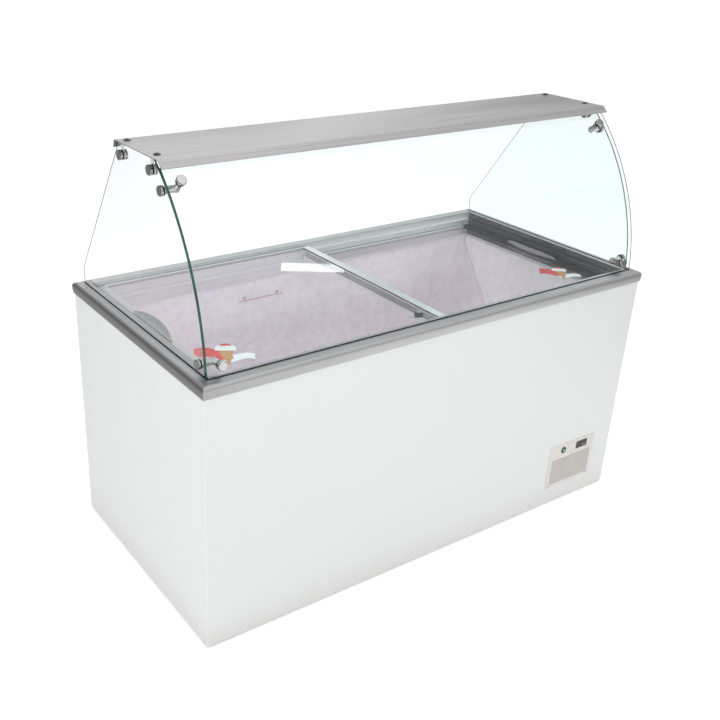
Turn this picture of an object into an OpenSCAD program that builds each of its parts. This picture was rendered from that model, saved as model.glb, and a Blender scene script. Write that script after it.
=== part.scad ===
// Chest freezer: insulated chest, two sliding glass lids on two levels, and a curved glass
// canopy with a serving shelf. Millimetres. X runs along the length, +Y is the rear (service)
// side, Z is up from the floor, and the origin is at the bottom centre.

/* [Cabinet] */
// Length of the outer shell
body_w = 1600; // [1500:10:1700]
// Depth of the outer shell
body_d = 800; // [780:10:820]
// Height of the seat of the rim above the floor
body_h = 764; // [740:2:780]
// Gap between the floor and the shell
floor_gap = 6; // [5:1:10]
// Thickness of the outer steel sheets
sheet_t = 1; // [0.8:0.1:1.2]

/* [Liner] */
// From the outer face of a wall to the inside of the liner
wall = 70; // [68:1:72]
// Height of the liner's floor
floor_z = 100; // [90:2:120]
// Thickness of the liner sheet
liner_t = 1; // [0.8:0.1:1.2]
// Length of the machine bay at the right end
bay_len = 310; // [305:1:315]
// Height of the machine bay's ceiling
bay_h = 285; // [280:1:290]
// Foam between the machine bay and the liner
step_foam = 54; // [50:1:60]

/* [Rim] */
// How far the rim stands out past the shell
rim_over = 4; // [4:0.5:5]
// Height of the rim's straight outer face
rim_face = 22; // [20:0.5:24]
// Radius of the rim's nose
nose_r = 12; // [10:0.5:14]
// Height of the rim's top above its seat
rim_top = 36; // [36:0.5:38]
// From the outer face of the shell to the middle of the canopy glass
glass_u = 28; // [27.5:0.5:28.5]

/* [Lids] */
// Thickness of a lid's frame
lid_t = 11.7; // [11:0.1:12]
// Thickness of a lid's glass
lid_glass_t = 4; // [3:0.5:4]
// Height of the upper lid's ledge above the rim's seat
upper_ledge = 15; // [14:0.5:16]
// Drop from the upper ledge to the lower ledge
ledge_drop = 31; // [31:0.5:32]
// How far each lid's meeting bar passes the middle
overlap = 14; // [13:0.5:15]
// Length of a moulded grip
grip_len = 230; // [200:5:250]
// Height of a moulded grip above its lid
grip_h = 17; // [14:0.5:17]

/* [Canopy] */
// Thickness of the canopy glass
canopy_t = 5; // [4:0.5:5]
// Radius of the curved front glass
curve_r = 694; // [690:1:700]
// Height of the shelf's top
shelf_z = 1284; // [1280:1:1290]
// Depth of the shelf's flat top
shelf_d = 250; // [240:5:260]
// Position of the shelf's front bend behind the front of the shell
shelf_set = 236; // [234:1:238]
// Length of the shelf
shelf_w = 1564; // [1550:2:1566]
// Thickness of the shelf's sheet
shelf_t = 2; // [1.5:0.5:2]
// Radius of a clamp disc
disc_r = 13.5; // [12:0.5:14]

/* [Controls] */
// Width of the control grille
panel_w = 216; // [210:1:220]
// Height of the control grille
panel_hgt = 160; // [158:1:162]
// Distance from the grille to the right end of the shell
panel_right = 84; // [80:1:88]
// Height of the grille's lower edge
panel_z = 66; // [64:1:68]
// Number of louvre slats
slats = 14; // [12:1:14]

/* [Hidden] */

$fn = 64;
half_w = body_w / 2;
half_d = body_d / 2;
eps = 0.2;
upper_z = body_h + upper_ledge + 0.3;
lower_z = upper_z - ledge_drop;

// Rim and track, measured inward from the outer face (u) and up from the rim's seat
slot_w = 8;
slot_floor = 22;
skin = 2;
rim_in = 44;
step_u = 57;
collar_drop = 50;
nose_u = nose_r - rim_over;
mitre_u = 100;
key_len = 70;
key_z = 13;
key_w = glass_u - 6 + rim_over - skin;

// Liner and machine bay
cav_w = half_w - wall;
cav_d = half_d - wall;
bay_x = half_w - bay_len;
step_x = bay_x - step_foam - liner_t;
step_z = bay_h + step_foam + liner_t;
liner_top = body_h + upper_ledge - ledge_drop - skin;
foam_top = body_h + 12;
tube_r = 4;
loops = 6;
loop_z0 = 400;
loop_gap = 55;
drain_x = -680;
drain_y = -280;
drain_r = 9;
drain_hole_r = 11.3;
riser_u = 100.5;
foot_x = half_w - 60;
foot_y = half_d - 60;
foot_r = 20;
stud_r = 4;
stud_len = 18;
stud_hole_r = stud_r + 0.3;

// Lids
lid_gap = 1;
end_w = 35;
bar_w = 26;
runner_w = 9;
seal_w = 4.4;
upper_half = half_d - rim_in - lid_gap;
lower_half = half_d - step_u - lid_gap;
upper_end = half_w - rim_in - lid_gap;
lower_end = half_w - step_u - lid_gap;
pane_z = 5.7;
pane_in = 6;
grip_bulge = 20;
grip_t = 5;
grip_in = 6;
grip_foot_h = 3;
lock_x = -47;
lock_y = -294;
lock_r = 13;
lock_stem_r = 10;
lock_nut_r = 12;
key_r = 7;

// Canopy
arc_z = body_h;
seat_z = body_h + slot_floor + 2;
arc_y = -half_d + glass_u + curve_r * cos(asin(30 / curve_r));
front_top = 46.3;
pane_back = half_d - 24;
pane_kink = 850;
glass_x = half_w - glass_u;
shelf_y0 = -half_d + shelf_set;
shelf_y1 = shelf_y0 + shelf_d;
bracket_y = [shelf_y0 + 56, shelf_y1 - 25];
lip_front = 17;
lip_rear = 20;
lip_lean = 5;
bracket_z = shelf_z - 35;
link_a = [42.7, 5.4];
link_in = [34, 37];
stem_r = 5;
hole_r = 6;
eye_r = 11;
bolt_in = 15;
bolt_r = 4;
// gap between the bent pane and the front edge of an end pane
pane_gap = 10;
disc_t = 8;
washer_t = 1;
strap_t = 3;
link_r = 9;
// depth of the bent pane's hollow under a flat washer, with a hair of play
hollow = pow(disc_r - 1, 2) / (2 * (curve_r - canopy_t / 2)) + 0.02;

// Controls
panel_x0 = half_w - panel_right - panel_w;
panel_xm = panel_x0 + panel_w / 2;
plate_t = 2;
// shallow sink in the plate round the switch and the display
sink = 1;
sink_low = 15;
sink_high = 16;
display_w = 48;
display_hgt = 22;
louvre_w = panel_w - 28;
louvre_z0 = panel_z + 12;
louvre_h = 96;
// slats fall towards the front and nearly hide the gaps behind them
slat_fall = 50;
slat_d = 5.2;
slat_t = 1.2;
slat_set = 0.4;
switch_x = panel_x0 + 65;
ctrl_z = panel_z + 136;
switch_r = 10;
rocker_tilt = 6;
screw_pos = [[15, 6], [panel_w - 15, 6], [panel_w / 2, 115]];
display_x = panel_x0 + 153;

// Machine bay
fan_x = panel_xm + 2;
fan_z = 145;
comp_x = 672;
comp_y = 150;
comp_r = 72;
// compressor's foot plate: top face, half sizes, and where its bolts stand
plate_z = 36;
comp_plate = [95, 62];
comp_bolt = [84, 50];
pot_z = 52;
pot_h = 70;
// condenser: front and rear of its end plates, tube rows, and width between the plates
cond_y = [-372, -326];
cond_top = 234;
cond_w = 184;
cond_rows = 5;
cond_z0 = 70;
cond_gap = 35;
cond_tube_y = [-360, -338];
// fan: shroud face, ring opening, motor and its hub
shroud_y = -318;
ring_r = 80;
motor_r = 32;
motor_y = -276;
hub_r = 18;
blades = 5;
gland_x = 770;
gland_z = 60;
vent_x0 = 520;
vent_w = 220;
vent_z0 = 60;
vent_h = 160;

// ---------- helpers ----------

// Extrudes an outline drawn in (y, z) along X, centred
module along_x(len) rotate([90, 0, 90]) linear_extrude(height = len, center = true) children();

// Extrudes an outline drawn in (x, z) along Y, centred
module along_y(len) rotate([90, 0, 0]) linear_extrude(height = len, center = true) children();

// A box from its lowest corner to its highest corner
module span(a, b) translate(a) cube(b - a);

// A cylinder along Y that starts at y0
module y_rod(x, y0, z, r, len) translate([x, y0, z]) rotate([-90, 0, 0]) cylinder(r = r, h = len);

// A round tube that follows a list of points
module pipe(points, r) {
    for (i = [0 : len(points) - 2]) {
        d = points[i + 1] - points[i];
        run = norm(d);
        translate(points[i])
            rotate([0, acos(d[2] / run), atan2(d[1], d[0])])
            cylinder(r = r, h = run);
    }
    for (i = [1 : len(points) - 2]) translate(points[i]) sphere(r = r);
}

// Both ends: the child and its mirror image across the middle of the length
module both_ends() {
    children();
    mirror([1, 0, 0]) children();
}

// ---------- shell ----------

module front_panel() {
    color("white") difference() {
        span([-half_w, -half_d, floor_gap], [half_w, -half_d + sheet_t, body_h + 10]);
        span([panel_x0 + 4, -half_d - 1, panel_z + 10],
             [panel_x0 + panel_w - 4, -half_d + 2, panel_z + panel_hgt - 4]);
        for (s = [0, 1])
            y_rod(panel_x0 + screw_pos[s][0], -half_d - 1, panel_z + screw_pos[s][1], 1.6, 3);
    }
}

module end_panel() {
    span([-half_w, -half_d + sheet_t, floor_gap],
         [-half_w + sheet_t, half_d - sheet_t, body_h + 10]);
}

module left_panel() color("white") end_panel();

module right_panel() color("white") mirror([1, 0, 0]) end_panel();

module rear_panel() {
    color("white") difference() {
        span([-half_w, half_d - sheet_t, floor_gap], [half_w, half_d, body_h + 10]);
        span([vent_x0, half_d - 2, vent_z0], [vent_x0 + vent_w, half_d + 1, vent_z0 + vent_h]);
        y_rod(gland_x, half_d - 5, gland_z, 8.3, 10);
    }
}

module base_plate() {
    color("gainsboro") difference() {
        span([-half_w + sheet_t, -half_d + sheet_t, floor_gap],
             [half_w - sheet_t, half_d - sheet_t, floor_gap + sheet_t]);
        for (x = [-foot_x, foot_x], y = [-foot_y, foot_y])
            translate([x, y, 0]) cylinder(r = stud_hole_r, h = 20);
        translate([drain_x, drain_y, 0]) cylinder(r = drain_hole_r, h = 20);
    }
}

// Four pads, each with the stud that screws it into the base
module levelling_feet() {
    color("dimgray") for (x = [-foot_x, foot_x], y = [-foot_y, foot_y]) translate([x, y, 0]) {
        cylinder(r = foot_r, h = floor_gap);
        cylinder(r = stud_r, h = floor_gap + stud_len);
    }
}

// ---------- liner and foam ----------

// The storage space in (x, z), grown outward by g and open at height top
module cavity_outline(g, top) {
    polygon([
        [-cav_w - g, floor_z - g], [step_x + g, floor_z - g], [step_x + g, step_z - g],
        [cav_w + g, step_z - g], [cav_w + g, top], [-cav_w - g, top]
    ]);
}

module inner_liner() {
    color("gainsboro") difference() {
        along_y(2 * (cav_d + liner_t)) cavity_outline(liner_t, liner_top);
        along_y(2 * cav_d) cavity_outline(0, liner_top + 1);
        translate([drain_x, drain_y, floor_z - 5]) cylinder(r = drain_hole_r, h = 10);
    }
}

module insulation() {
    color("khaki") difference() {
        span([-half_w + sheet_t + eps, -half_d + sheet_t + eps, floor_gap + sheet_t],
             [half_w - sheet_t - eps, half_d - sheet_t - eps, foam_top]);
        // under the lower ledge
        span([-half_w + step_u - skin - eps, -half_d + step_u - skin - eps, liner_top - eps],
             [half_w - step_u + skin + eps, half_d - step_u + skin + eps, body_h + 20]);
        along_y(2 * (cav_d + liner_t)) cavity_outline(liner_t, body_h + 20);
        // machine bay with its sheet wall
        span([bay_x - sheet_t, -half_d, 0], [half_w, half_d, bay_h + sheet_t]);
        // grooves for the evaporator tube
        for (i = [0 : loops - 1]) evaporator_groove(loop_z0 + i * loop_gap);
        span([-cav_w + riser_u - tube_r - 0.5, cav_d, loop_z0 - 5],
             [-cav_w + riser_u + tube_r + 0.5, cav_d + liner_t + 9.6,
              loop_z0 + (loops - 1) * loop_gap + 5]);
        for (x = [-foot_x, foot_x], y = [-foot_y, foot_y])
            translate([x, y, 0]) cylinder(r = stud_hole_r, h = floor_gap + stud_len + 2);
        translate([drain_x, drain_y, 0]) cylinder(r = drain_hole_r, h = floor_z);
    }
}

module evaporator_groove(z) {
    g = liner_t + 2 * tube_r + 1;
    span([-cav_w - g, -cav_d - g, z - tube_r - 0.5], [cav_w + g, cav_d + g, z + tube_r + 0.5]);
}

// Six loops of tube round the liner, joined by a riser at the rear
module evaporator_tube() {
    g = liner_t + tube_r + eps;
    x = cav_w + g;
    y = cav_d + g;
    color("peru") {
        for (i = [0 : loops - 1]) {
            z = loop_z0 + i * loop_gap;
            pipe([[-x, y, z], [-x, -y, z], [x, -y, z], [x, y, z], [-x, y, z]], tube_r);
            translate([-x, y, z]) sphere(r = tube_r);
        }
        translate([-cav_w + riser_u, y, loop_z0])
            cylinder(r = tube_r, h = (loops - 1) * loop_gap);
    }
}

module drain_fitting() {
    color("lightgray") translate([drain_x, drain_y, 0]) difference() {
        union() {
            translate([0, 0, floor_gap]) cylinder(r = 11, h = floor_z - floor_gap);
            translate([0, 0, floor_z]) cylinder(r = 18, h = 2);
        }
        cylinder(r = drain_r, h = floor_z + 5);
    }
}

module drain_plug() {
    color("dimgray") translate([drain_x, drain_y, 0]) {
        translate([0, 0, floor_z - 16]) cylinder(r = drain_r - 0.06, h = 18.3);
        translate([0, 0, floor_z + 2.3]) cylinder(r = 13, h = 3);
        translate([0, 0, floor_z + 5]) span([-1.5, -7, 0], [1.5, 7, 12]);
    }
}

// ---------- rim and lid tracks ----------

// Rim extrusion: rounded nose, channel for the canopy glass, inner lip. Without the slot the
// channel keeps its cover.
module rim_bar(len, slot) {
    inner_top = rim_top - skin;
    slot_h = slot ? 40 : inner_top - slot_floor;
    difference() {
        union() {
            along_x(len) translate([-rim_over, 0]) square([nose_r, rim_face]);
            along_x(len) translate([nose_u, rim_face]) circle(r = nose_r);
            along_x(len) polygon([
                [nose_u - 1, 0], [nose_u - 1, rim_face + nose_r - 0.6], [glass_u - 4, rim_top],
                [rim_in, rim_top], [rim_in, 0]
            ]);
        }
        along_x(len + 2) translate([skin - rim_over, -20]) square([nose_r - skin, rim_face + 20]);
        along_x(len + 2) translate([nose_u, rim_face]) circle(r = nose_r - skin);
        along_x(len + 2) polygon([
            [nose_u - 2, -20], [nose_u - 2, rim_face + nose_r - skin - 0.8],
            [glass_u - 6, inner_top - 0.4], [glass_u - 6, slot_floor - skin],
            [glass_u + 6, slot_floor - skin], [glass_u + 6, inner_top],
            [rim_in + 1, inner_top], [rim_in + 1, -20]
        ]);
        along_x(len + 2) translate([glass_u - 4, slot_floor]) square([slot_w, slot_h]);
    }
}

// Section of the lid track: riser, upper ledge, riser, lower ledge, collar over the liner
module track_section() {
    lo = upper_ledge - ledge_drop;
    polygon([
        [rim_in - skin, rim_top - skin], [rim_in, rim_top - skin], [rim_in, upper_ledge],
        [step_u, upper_ledge], [step_u, lo], [wall + skin, lo], [wall + skin, -collar_drop],
        [wall, -collar_drop], [wall, lo - skin], [step_u - skin, lo - skin],
        [step_u - skin, upper_ledge - skin], [rim_in - skin, upper_ledge - skin]
    ]);
}

// Keeps the part of a frame side that lies between its two mitres
module mitre_long() {
    w = half_w + rim_over;
    d = half_d + rim_over;
    c = mitre_u + rim_over;
    translate([0, 0, body_h - 100]) linear_extrude(height = 200)
        polygon([[-w, -d], [w, -d], [w - c, -d + c], [-w + c, -d + c]]);
}

module mitre_short() {
    w = half_w + rim_over;
    d = half_d + rim_over;
    c = mitre_u + rim_over;
    translate([0, 0, body_h - 100]) linear_extrude(height = 200)
        polygon([[-w, -d], [-w, d], [-w + c, d - c], [-w + c, -d + c]]);
}

// Places a bar that runs along X on the front side, and cuts its mitres
module long_side() {
    intersection() {
        translate([0, -half_d, body_h]) children();
        mitre_long();
    }
}

// Places a bar that runs along X on the left side, and cuts its mitres
module short_side() {
    intersection() {
        translate([-half_w, 0, body_h]) rotate([0, 0, -90]) children();
        mitre_short();
    }
}

module rim_front() color("silver") long_side() rim_bar(body_w + 20, true);

// The rear rim has no glass of its own: only notches for the ends of the side panes
module rim_rear() {
    color("silver") difference() {
        mirror([0, 1, 0]) long_side() rim_bar(body_w + 20, false);
        both_ends() span([-glass_x - 4, half_d - rim_in - 6, body_h + slot_floor],
                         [-glass_x + 4, pane_back + 2, body_h + 60]);
    }
}

module rim_left() color("silver") short_side() rim_bar(body_d + 20, true);

module rim_right() color("silver") mirror([1, 0, 0]) short_side() rim_bar(body_d + 20, true);

module track_front() color("darkgray") long_side() along_x(body_w) track_section();

module track_rear() {
    color("darkgray") mirror([0, 1, 0]) long_side() along_x(body_w) track_section();
}

module track_left() color("darkgray") short_side() along_x(body_d) track_section();

module track_right() {
    color("darkgray") mirror([1, 0, 0]) short_side() along_x(body_d) track_section();
}

// Angle pieces that hold each mitred corner of the rim together, inside the nose
module rim_corner_keys() {
    color("gray") both_ends() for (m = [0, 1]) mirror([0, m, 0])
        translate([-half_w - rim_over + skin, -half_d - rim_over + skin, body_h + key_z]) {
            cube([key_len, key_w, rim_face - key_z]);
            cube([key_w, key_len, rim_face - key_z]);
        }
}

// Rubber channels that seat the canopy glass
module front_glass_gasket() {
    color("black") difference() {
        span([-glass_x + 6, -half_d + glass_u - 4, body_h + slot_floor],
             [glass_x - 6, -half_d + glass_u + 4, body_h + rim_top + 1]);
        front_sheet(curve_r, canopy_t, body_w, asin((seat_z - arc_z) / curve_r), 12);
    }
}

module side_glass_gaskets() {
    color("black") both_ends() difference() {
        span([-glass_x - 4, -half_d + glass_u + 7, body_h + slot_floor],
             [-glass_x + 4, pane_back, body_h + rim_top + 1]);
        span([-glass_x - canopy_t / 2, -half_d, seat_z], [-glass_x + canopy_t / 2, half_d, 900]);
    }
}

// ---------- lids ----------
// A lid runs from x0 to x1; its frame starts at height z and reaches y = +-half

module lid_glass(x0, x1, half, z)
    span([x0 + pane_in, -half + pane_in, z + pane_z],
         [x1 - pane_in, half - pane_in, z + pane_z + lid_glass_t]);

module lid_runners(x0, x1, half, z) {
    for (m = [0, 1]) mirror([0, m, 0]) difference() {
        span([x0, -half + seal_w, z], [x1, -half + seal_w + runner_w, z + lid_t]);
        lid_glass(x0 - 20, x1 + 20, half, z);
        span([x0 - 1, -half + seal_w + 2, z - 1], [x1 + 1, -half + 40, z + 2.5]);
    }
}

// Frame across a lid's end; w is its width
module lid_cross(x0, x1, half, z, glass_x0, glass_x1) {
    difference() {
        span([x0, -half + seal_w, z], [x1, half - seal_w, z + lid_t]);
        lid_glass(glass_x0, glass_x1, half, z);
        span([x0 + 3, -half + 15, z - 1], [x1 - 3, half - 15, z + 3]);
    }
}

// Seal strips along the two long edges of a lid
module lid_seal(x0, x1, half, z) {
    for (m = [0, 1]) mirror([0, m, 0])
        span([x0, -half + 0.4, z + 2], [x1, -half + seal_w, z + lid_t - 0.5]);
}

// Moulded grip: a bowed upright lip on a flat foot, on the inner side of the end frame
module grip(x, z) {
    chord = grip_len;
    r = (chord * chord / 4 + grip_bulge * grip_bulge) / (2 * grip_bulge);
    translate([x, 0, z]) {
        intersection() {
            linear_extrude(height = grip_h) difference() {
                translate([grip_bulge - r, 0]) circle(r = r, $fn = 128);
                translate([grip_bulge - r, 0]) circle(r = r - grip_t, $fn = 128);
            }
            translate([-grip_in, -chord / 2, 0]) cube([grip_bulge + 10, chord, grip_h]);
        }
        linear_extrude(height = grip_foot_h) intersection() {
            translate([grip_bulge - r, 0]) circle(r = r, $fn = 128);
            translate([-grip_in, -chord / 2]) square([grip_bulge + 10, chord]);
        }
    }
}

left_x0 = -upper_end;
left_x1 = overlap;
right_x0 = -overlap;
right_x1 = lower_end;

module left_lid_glass() {
    color("lightcyan", 0.5) difference() {
        lid_glass(left_x0, left_x1, upper_half, upper_z);
        translate([lock_x, lock_y, 0]) cylinder(r = lock_stem_r + eps, h = 900);
    }
}

module left_lid_runners()
    color("silver") lid_runners(left_x0 + end_w, left_x1 - bar_w, upper_half, upper_z);

module left_lid_end_frame() {
    color("lightgray")
        lid_cross(left_x0, left_x0 + end_w, upper_half, upper_z, left_x0, left_x1);
}

module left_lid_grip() color("lightgray") grip(left_x0 + end_w - 12, upper_z + lid_t);

module left_lid_meeting_bar() {
    color("lightgray")
        lid_cross(left_x1 - bar_w, left_x1, upper_half, upper_z, left_x0, left_x1);
}

module left_lid_seal() {
    color("black") {
        lid_seal(left_x0, left_x1, upper_half, upper_z);
        span([left_x1 - bar_w - 3, -upper_half + seal_w + runner_w, upper_z + pane_z + lid_glass_t],
             [left_x1 - bar_w, upper_half - seal_w - runner_w, upper_z + lid_t - 0.5]);
    }
}

// Lock: bezel above the glass, nut below it, and the key cylinder that turns in it
module lid_lock_body() {
    top = upper_z + pane_z + lid_glass_t;
    color("dimgray") translate([lock_x, lock_y, 0]) difference() {
        union() {
            translate([0, 0, upper_z + 1.5]) cylinder(r = lock_nut_r, h = pane_z - 1.5);
            translate([0, 0, upper_z + 1.5]) cylinder(r = lock_stem_r, h = top - upper_z);
            translate([0, 0, top]) cylinder(r = lock_r, h = 7);
        }
        translate([0, 0, upper_z]) cylinder(r = key_r + 0.05, h = 30);
    }
}

module lid_lock_cylinder() {
    top = upper_z + pane_z + lid_glass_t + 8;
    color("silver") translate([lock_x, lock_y, 0]) difference() {
        translate([0, 0, upper_z + 0.3]) union() {
            cylinder(r = key_r, h = top - upper_z - 0.3);
            span([-26, -5, 0], [0, 5, 0.9]);
        }
        span([-0.9, -4, top - 5], [0.9, 4, top + 1]);
    }
}

module right_lid_glass()
    color("lightcyan", 0.5) lid_glass(right_x0, right_x1, lower_half, lower_z);

module right_lid_runners()
    color("silver") lid_runners(right_x0 + bar_w, right_x1 - end_w, lower_half, lower_z);

module right_lid_end_frame() {
    color("lightgray")
        lid_cross(right_x1 - end_w, right_x1, lower_half, lower_z, right_x0, right_x1);
}

module right_lid_grip()
    color("lightgray") mirror([1, 0, 0]) grip(-right_x1 + end_w - 12, lower_z + lid_t);

module right_lid_meeting_bar() {
    color("lightgray")
        lid_cross(right_x0, right_x0 + bar_w, lower_half, lower_z, right_x0, right_x1);
}

// The strip on the meeting bar closes the gap up to the upper lid
module right_lid_seal() {
    color("black") {
        lid_seal(right_x0, right_x1, lower_half, lower_z);
        span([right_x0 + 2, -lower_half + 12, lower_z + lid_t],
             [right_x0 + 6, lower_half - 12, upper_z - 0.6]);
    }
}

// ---------- canopy ----------

// Curved sheet: centre radius r, thickness t, length len, from a0 to a1 degrees above level
module front_sheet(r, t, len, a0, a1) {
    big = 2 * r;
    translate([0, arc_y, arc_z]) along_x(len) intersection() {
        difference() {
            circle(r = r + t / 2, $fn = 256);
            circle(r = r - t / 2, $fn = 256);
        }
        polygon([[0, 0], [-big * cos(a0), big * sin(a0)], [-big * cos(a1), big * sin(a1)]]);
    }
}

// Moves children to a link on the arc: the child's +X points out of the cabinet's end (-X side)
module at_link(i) {
    a = link_a[i];
    rr = curve_r - link_in[i];
    translate([-glass_x, arc_y - rr * cos(a), arc_z + rr * sin(a)]) children();
}

module left_side_holes() {
    for (i = [0, 1]) at_link(i) rotate([0, 90, 0]) cylinder(r = hole_r, h = 40, center = true);
    for (y = bracket_y) translate([-glass_x, y, bracket_z])
        rotate([0, 90, 0]) cylinder(r = hole_r, h = 40, center = true);
}

module side_pane() {
    difference() {
        translate([-glass_x, 0, 0]) along_x(canopy_t) intersection() {
            polygon([[-half_d, seat_z], [pane_back, seat_z], [pane_back, pane_kink],
                     [shelf_y1 + 2.4, shelf_z - lip_rear - 2], [shelf_y1 - 2.6, shelf_z - 4],
                     [-half_d, shelf_z - 4]]);
            translate([arc_y, arc_z]) circle(r = curve_r - canopy_t / 2 - pane_gap, $fn = 256);
        }
        left_side_holes();
    }
}

module left_side_glass() color("azure", 0.5) side_pane();

module right_side_glass() color("azure", 0.5) mirror([1, 0, 0]) side_pane();

// Direction from a link to the front glass
module facing_front(i) rotate([-link_a[i], 0, 0]) rotate([90, 0, 0]) children();

module curved_front_glass() {
    a0 = asin((seat_z - arc_z) / curve_r);
    color("azure", 0.5) difference() {
        front_sheet(curve_r, canopy_t, 2 * (glass_x + 3.8), a0, front_top);
        both_ends() for (i = [0, 1]) at_link(i) translate([link_in[i], 0, 0])
            facing_front(i) cylinder(r = hole_r, h = link_in[i] + 20);
    }
}

module top_shelf() {
    k = shelf_t * tan(22.5);
    bevel = shelf_t * 0.7;
    color("lightgray") difference() {
        along_x(shelf_w) polygon([
            [shelf_y1 + lip_lean, shelf_z - lip_rear], [shelf_y1, shelf_z], [shelf_y0, shelf_z],
            [shelf_y0 - lip_front, shelf_z - lip_front],
            [shelf_y0 - lip_front + bevel, shelf_z - lip_front - bevel],
            [shelf_y0 + k, shelf_z - shelf_t], [shelf_y1 - shelf_t * 0.8, shelf_z - shelf_t],
            [shelf_y1 + lip_lean - shelf_t, shelf_z - lip_rear]
        ]);
        both_ends() for (y = bracket_y)
            translate([-glass_x + bolt_in, y, shelf_z - 5]) cylinder(r = bolt_r + 0.3, h = 10);
    }
}

module shelf_bolts() {
    color("dimgray") both_ends() for (y = bracket_y) translate([-glass_x + bolt_in, y, 0]) {
        intersection() {
            translate([0, 0, shelf_z - 9]) sphere(r = 13);
            translate([0, 0, shelf_z]) cylinder(r = 9.5, h = 5);
        }
        translate([0, 0, shelf_z - shelf_t - 5]) cylinder(r = bolt_r, h = shelf_t + 5);
    }
}

// Foot under the shelf, strap down the inside of the pane, round eye at the clamp
module shelf_brackets() {
    x0 = -glass_x + canopy_t / 2 + washer_t;
    top = shelf_z - shelf_t;
    color("gray") both_ends() for (y = bracket_y) difference() {
        union() {
            span([x0, y - 9, top - strap_t], [x0 + 24, y + 9, top]);
            span([x0, y - 6, bracket_z], [x0 + strap_t, y + 6, top]);
            translate([x0, y, bracket_z]) rotate([0, 90, 0]) cylinder(r = eye_r, h = strap_t);
        }
        translate([-glass_x + bolt_in, y, top - 20]) cylinder(r = bolt_r + 0.3, h = 30);
        translate([x0 - 1, y, bracket_z]) rotate([0, 90, 0]) cylinder(r = hole_r, h = 6);
    }
}

module disc() {
    cylinder(r = disc_r, h = disc_t - 1.5);
    translate([0, 0, disc_t - 1.5]) cylinder(r1 = disc_r, r2 = disc_r - 1.5, h = 1.5);
}

// Outer discs with the stems that pass through the glass, and the inner discs of the brackets
module clamp_discs() {
    off = canopy_t / 2 + washer_t;
    color("silver") both_ends() {
        for (y = bracket_y) translate([-glass_x, y, bracket_z]) {
            translate([-off, 0, 0]) rotate([0, -90, 0]) disc();
            translate([off + strap_t, 0, 0]) rotate([0, 90, 0]) disc();
            translate([-off, 0, 0]) rotate([0, 90, 0]) cylinder(r = stem_r, h = 2 * off + strap_t);
        }
        for (i = [0, 1]) at_link(i) {
            translate([-off, 0, 0]) rotate([0, -90, 0]) disc();
            translate([-off, 0, 0]) rotate([0, 90, 0]) cylinder(r = stem_r, h = 2 * off);
            translate([link_in[i], 0, 0]) facing_front(i) {
                translate([0, 0, link_in[i] + off]) disc();
                translate([0, 0, link_in[i] - off - hollow])
                    cylinder(r = stem_r, h = 2 * off + hollow);
            }
        }
    }
}

module washer() difference() {
    cylinder(r = disc_r - 1, h = washer_t);
    translate([0, 0, -1]) cylinder(r = hole_r, h = washer_t + 2);
}

module clamp_washers() {
    w = canopy_t / 2;
    color("black") both_ends() {
        for (y = bracket_y) translate([-glass_x, y, bracket_z]) {
            translate([-w, 0, 0]) rotate([0, -90, 0]) washer();
            translate([w, 0, 0]) rotate([0, 90, 0]) washer();
        }
        for (i = [0, 1]) at_link(i) {
            translate([-w, 0, 0]) rotate([0, -90, 0]) washer();
            translate([w, 0, 0]) rotate([0, 90, 0]) washer();
            translate([link_in[i], 0, 0]) facing_front(i) {
                translate([0, 0, link_in[i] + w]) washer();
                translate([0, 0, link_in[i] - w - washer_t - hollow]) washer();
            }
        }
    }
}

// Right-angle studs that tie the front glass to the side panes at each corner
module corner_connectors() {
    off = canopy_t / 2 + washer_t;
    color("gray") both_ends() for (i = [0, 1]) at_link(i) {
        translate([off, 0, 0]) rotate([0, 90, 0]) cylinder(r = link_r, h = link_in[i] - off);
        translate([link_in[i], 0, 0]) sphere(r = link_r + 1.5);
        translate([link_in[i], 0, 0]) facing_front(i)
            cylinder(r = link_r, h = link_in[i] - off - hollow);
    }
}

// ---------- controls ----------

module control_grille() {
    y0 = -half_d - plate_t;
    pitch = louvre_h / slats;
    color("ivory") difference() {
        union() {
            difference() {
                union() {
                    span([panel_x0, y0, panel_z], [panel_x0 + panel_w, -half_d, panel_z + panel_hgt]);
                    span([panel_x0 + 5, -half_d, panel_z + 11],
                         [panel_x0 + panel_w - 5, -half_d + 9, panel_z + panel_hgt - 5]);
                }
                span([panel_xm - louvre_w / 2, y0 - 1, louvre_z0],
                     [panel_xm + louvre_w / 2, -half_d + 20, louvre_z0 + louvre_h]);
                span([panel_x0 + 8, -half_d, louvre_z0 + louvre_h + 3],
                     [panel_x0 + panel_w - 8, -half_d + 20, panel_z + panel_hgt - 8]);
            }
            y_rod(panel_xm, -half_d, panel_z + screw_pos[2][1], 5, 9);
            for (i = [0 : slats - 1])
                translate([panel_xm, -half_d + slat_set, louvre_z0 + (i + 0.5) * pitch])
                rotate([slat_fall, 0, 0]) cube([louvre_w + 1, slat_d, slat_t], center = true);
        }
        span([panel_xm - louvre_w / 2, y0 - 1, ctrl_z - sink_low],
             [panel_xm + louvre_w / 2, y0 + sink, ctrl_z + sink_high]);
        y_rod(switch_x, y0 - 1, ctrl_z, switch_r + 0.2, 20);
        span([display_x - display_w / 2, y0 - 1, ctrl_z - display_hgt / 2],
             [display_x + display_w / 2, 0, ctrl_z + display_hgt / 2]);
        for (s = screw_pos) y_rod(panel_x0 + s[0], y0 - 1, panel_z + s[1], 1.8, 20);
    }
}

module grille_screws() {
    color("silver") for (s = screw_pos)
        translate([panel_x0 + s[0], -half_d - plate_t, panel_z + s[1]]) rotate([-90, 0, 0]) {
            translate([0, 0, -1.4]) cylinder(r = 3.2, h = 1.4);
            cylinder(r = 1.4, h = 9);
        }
}

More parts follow.
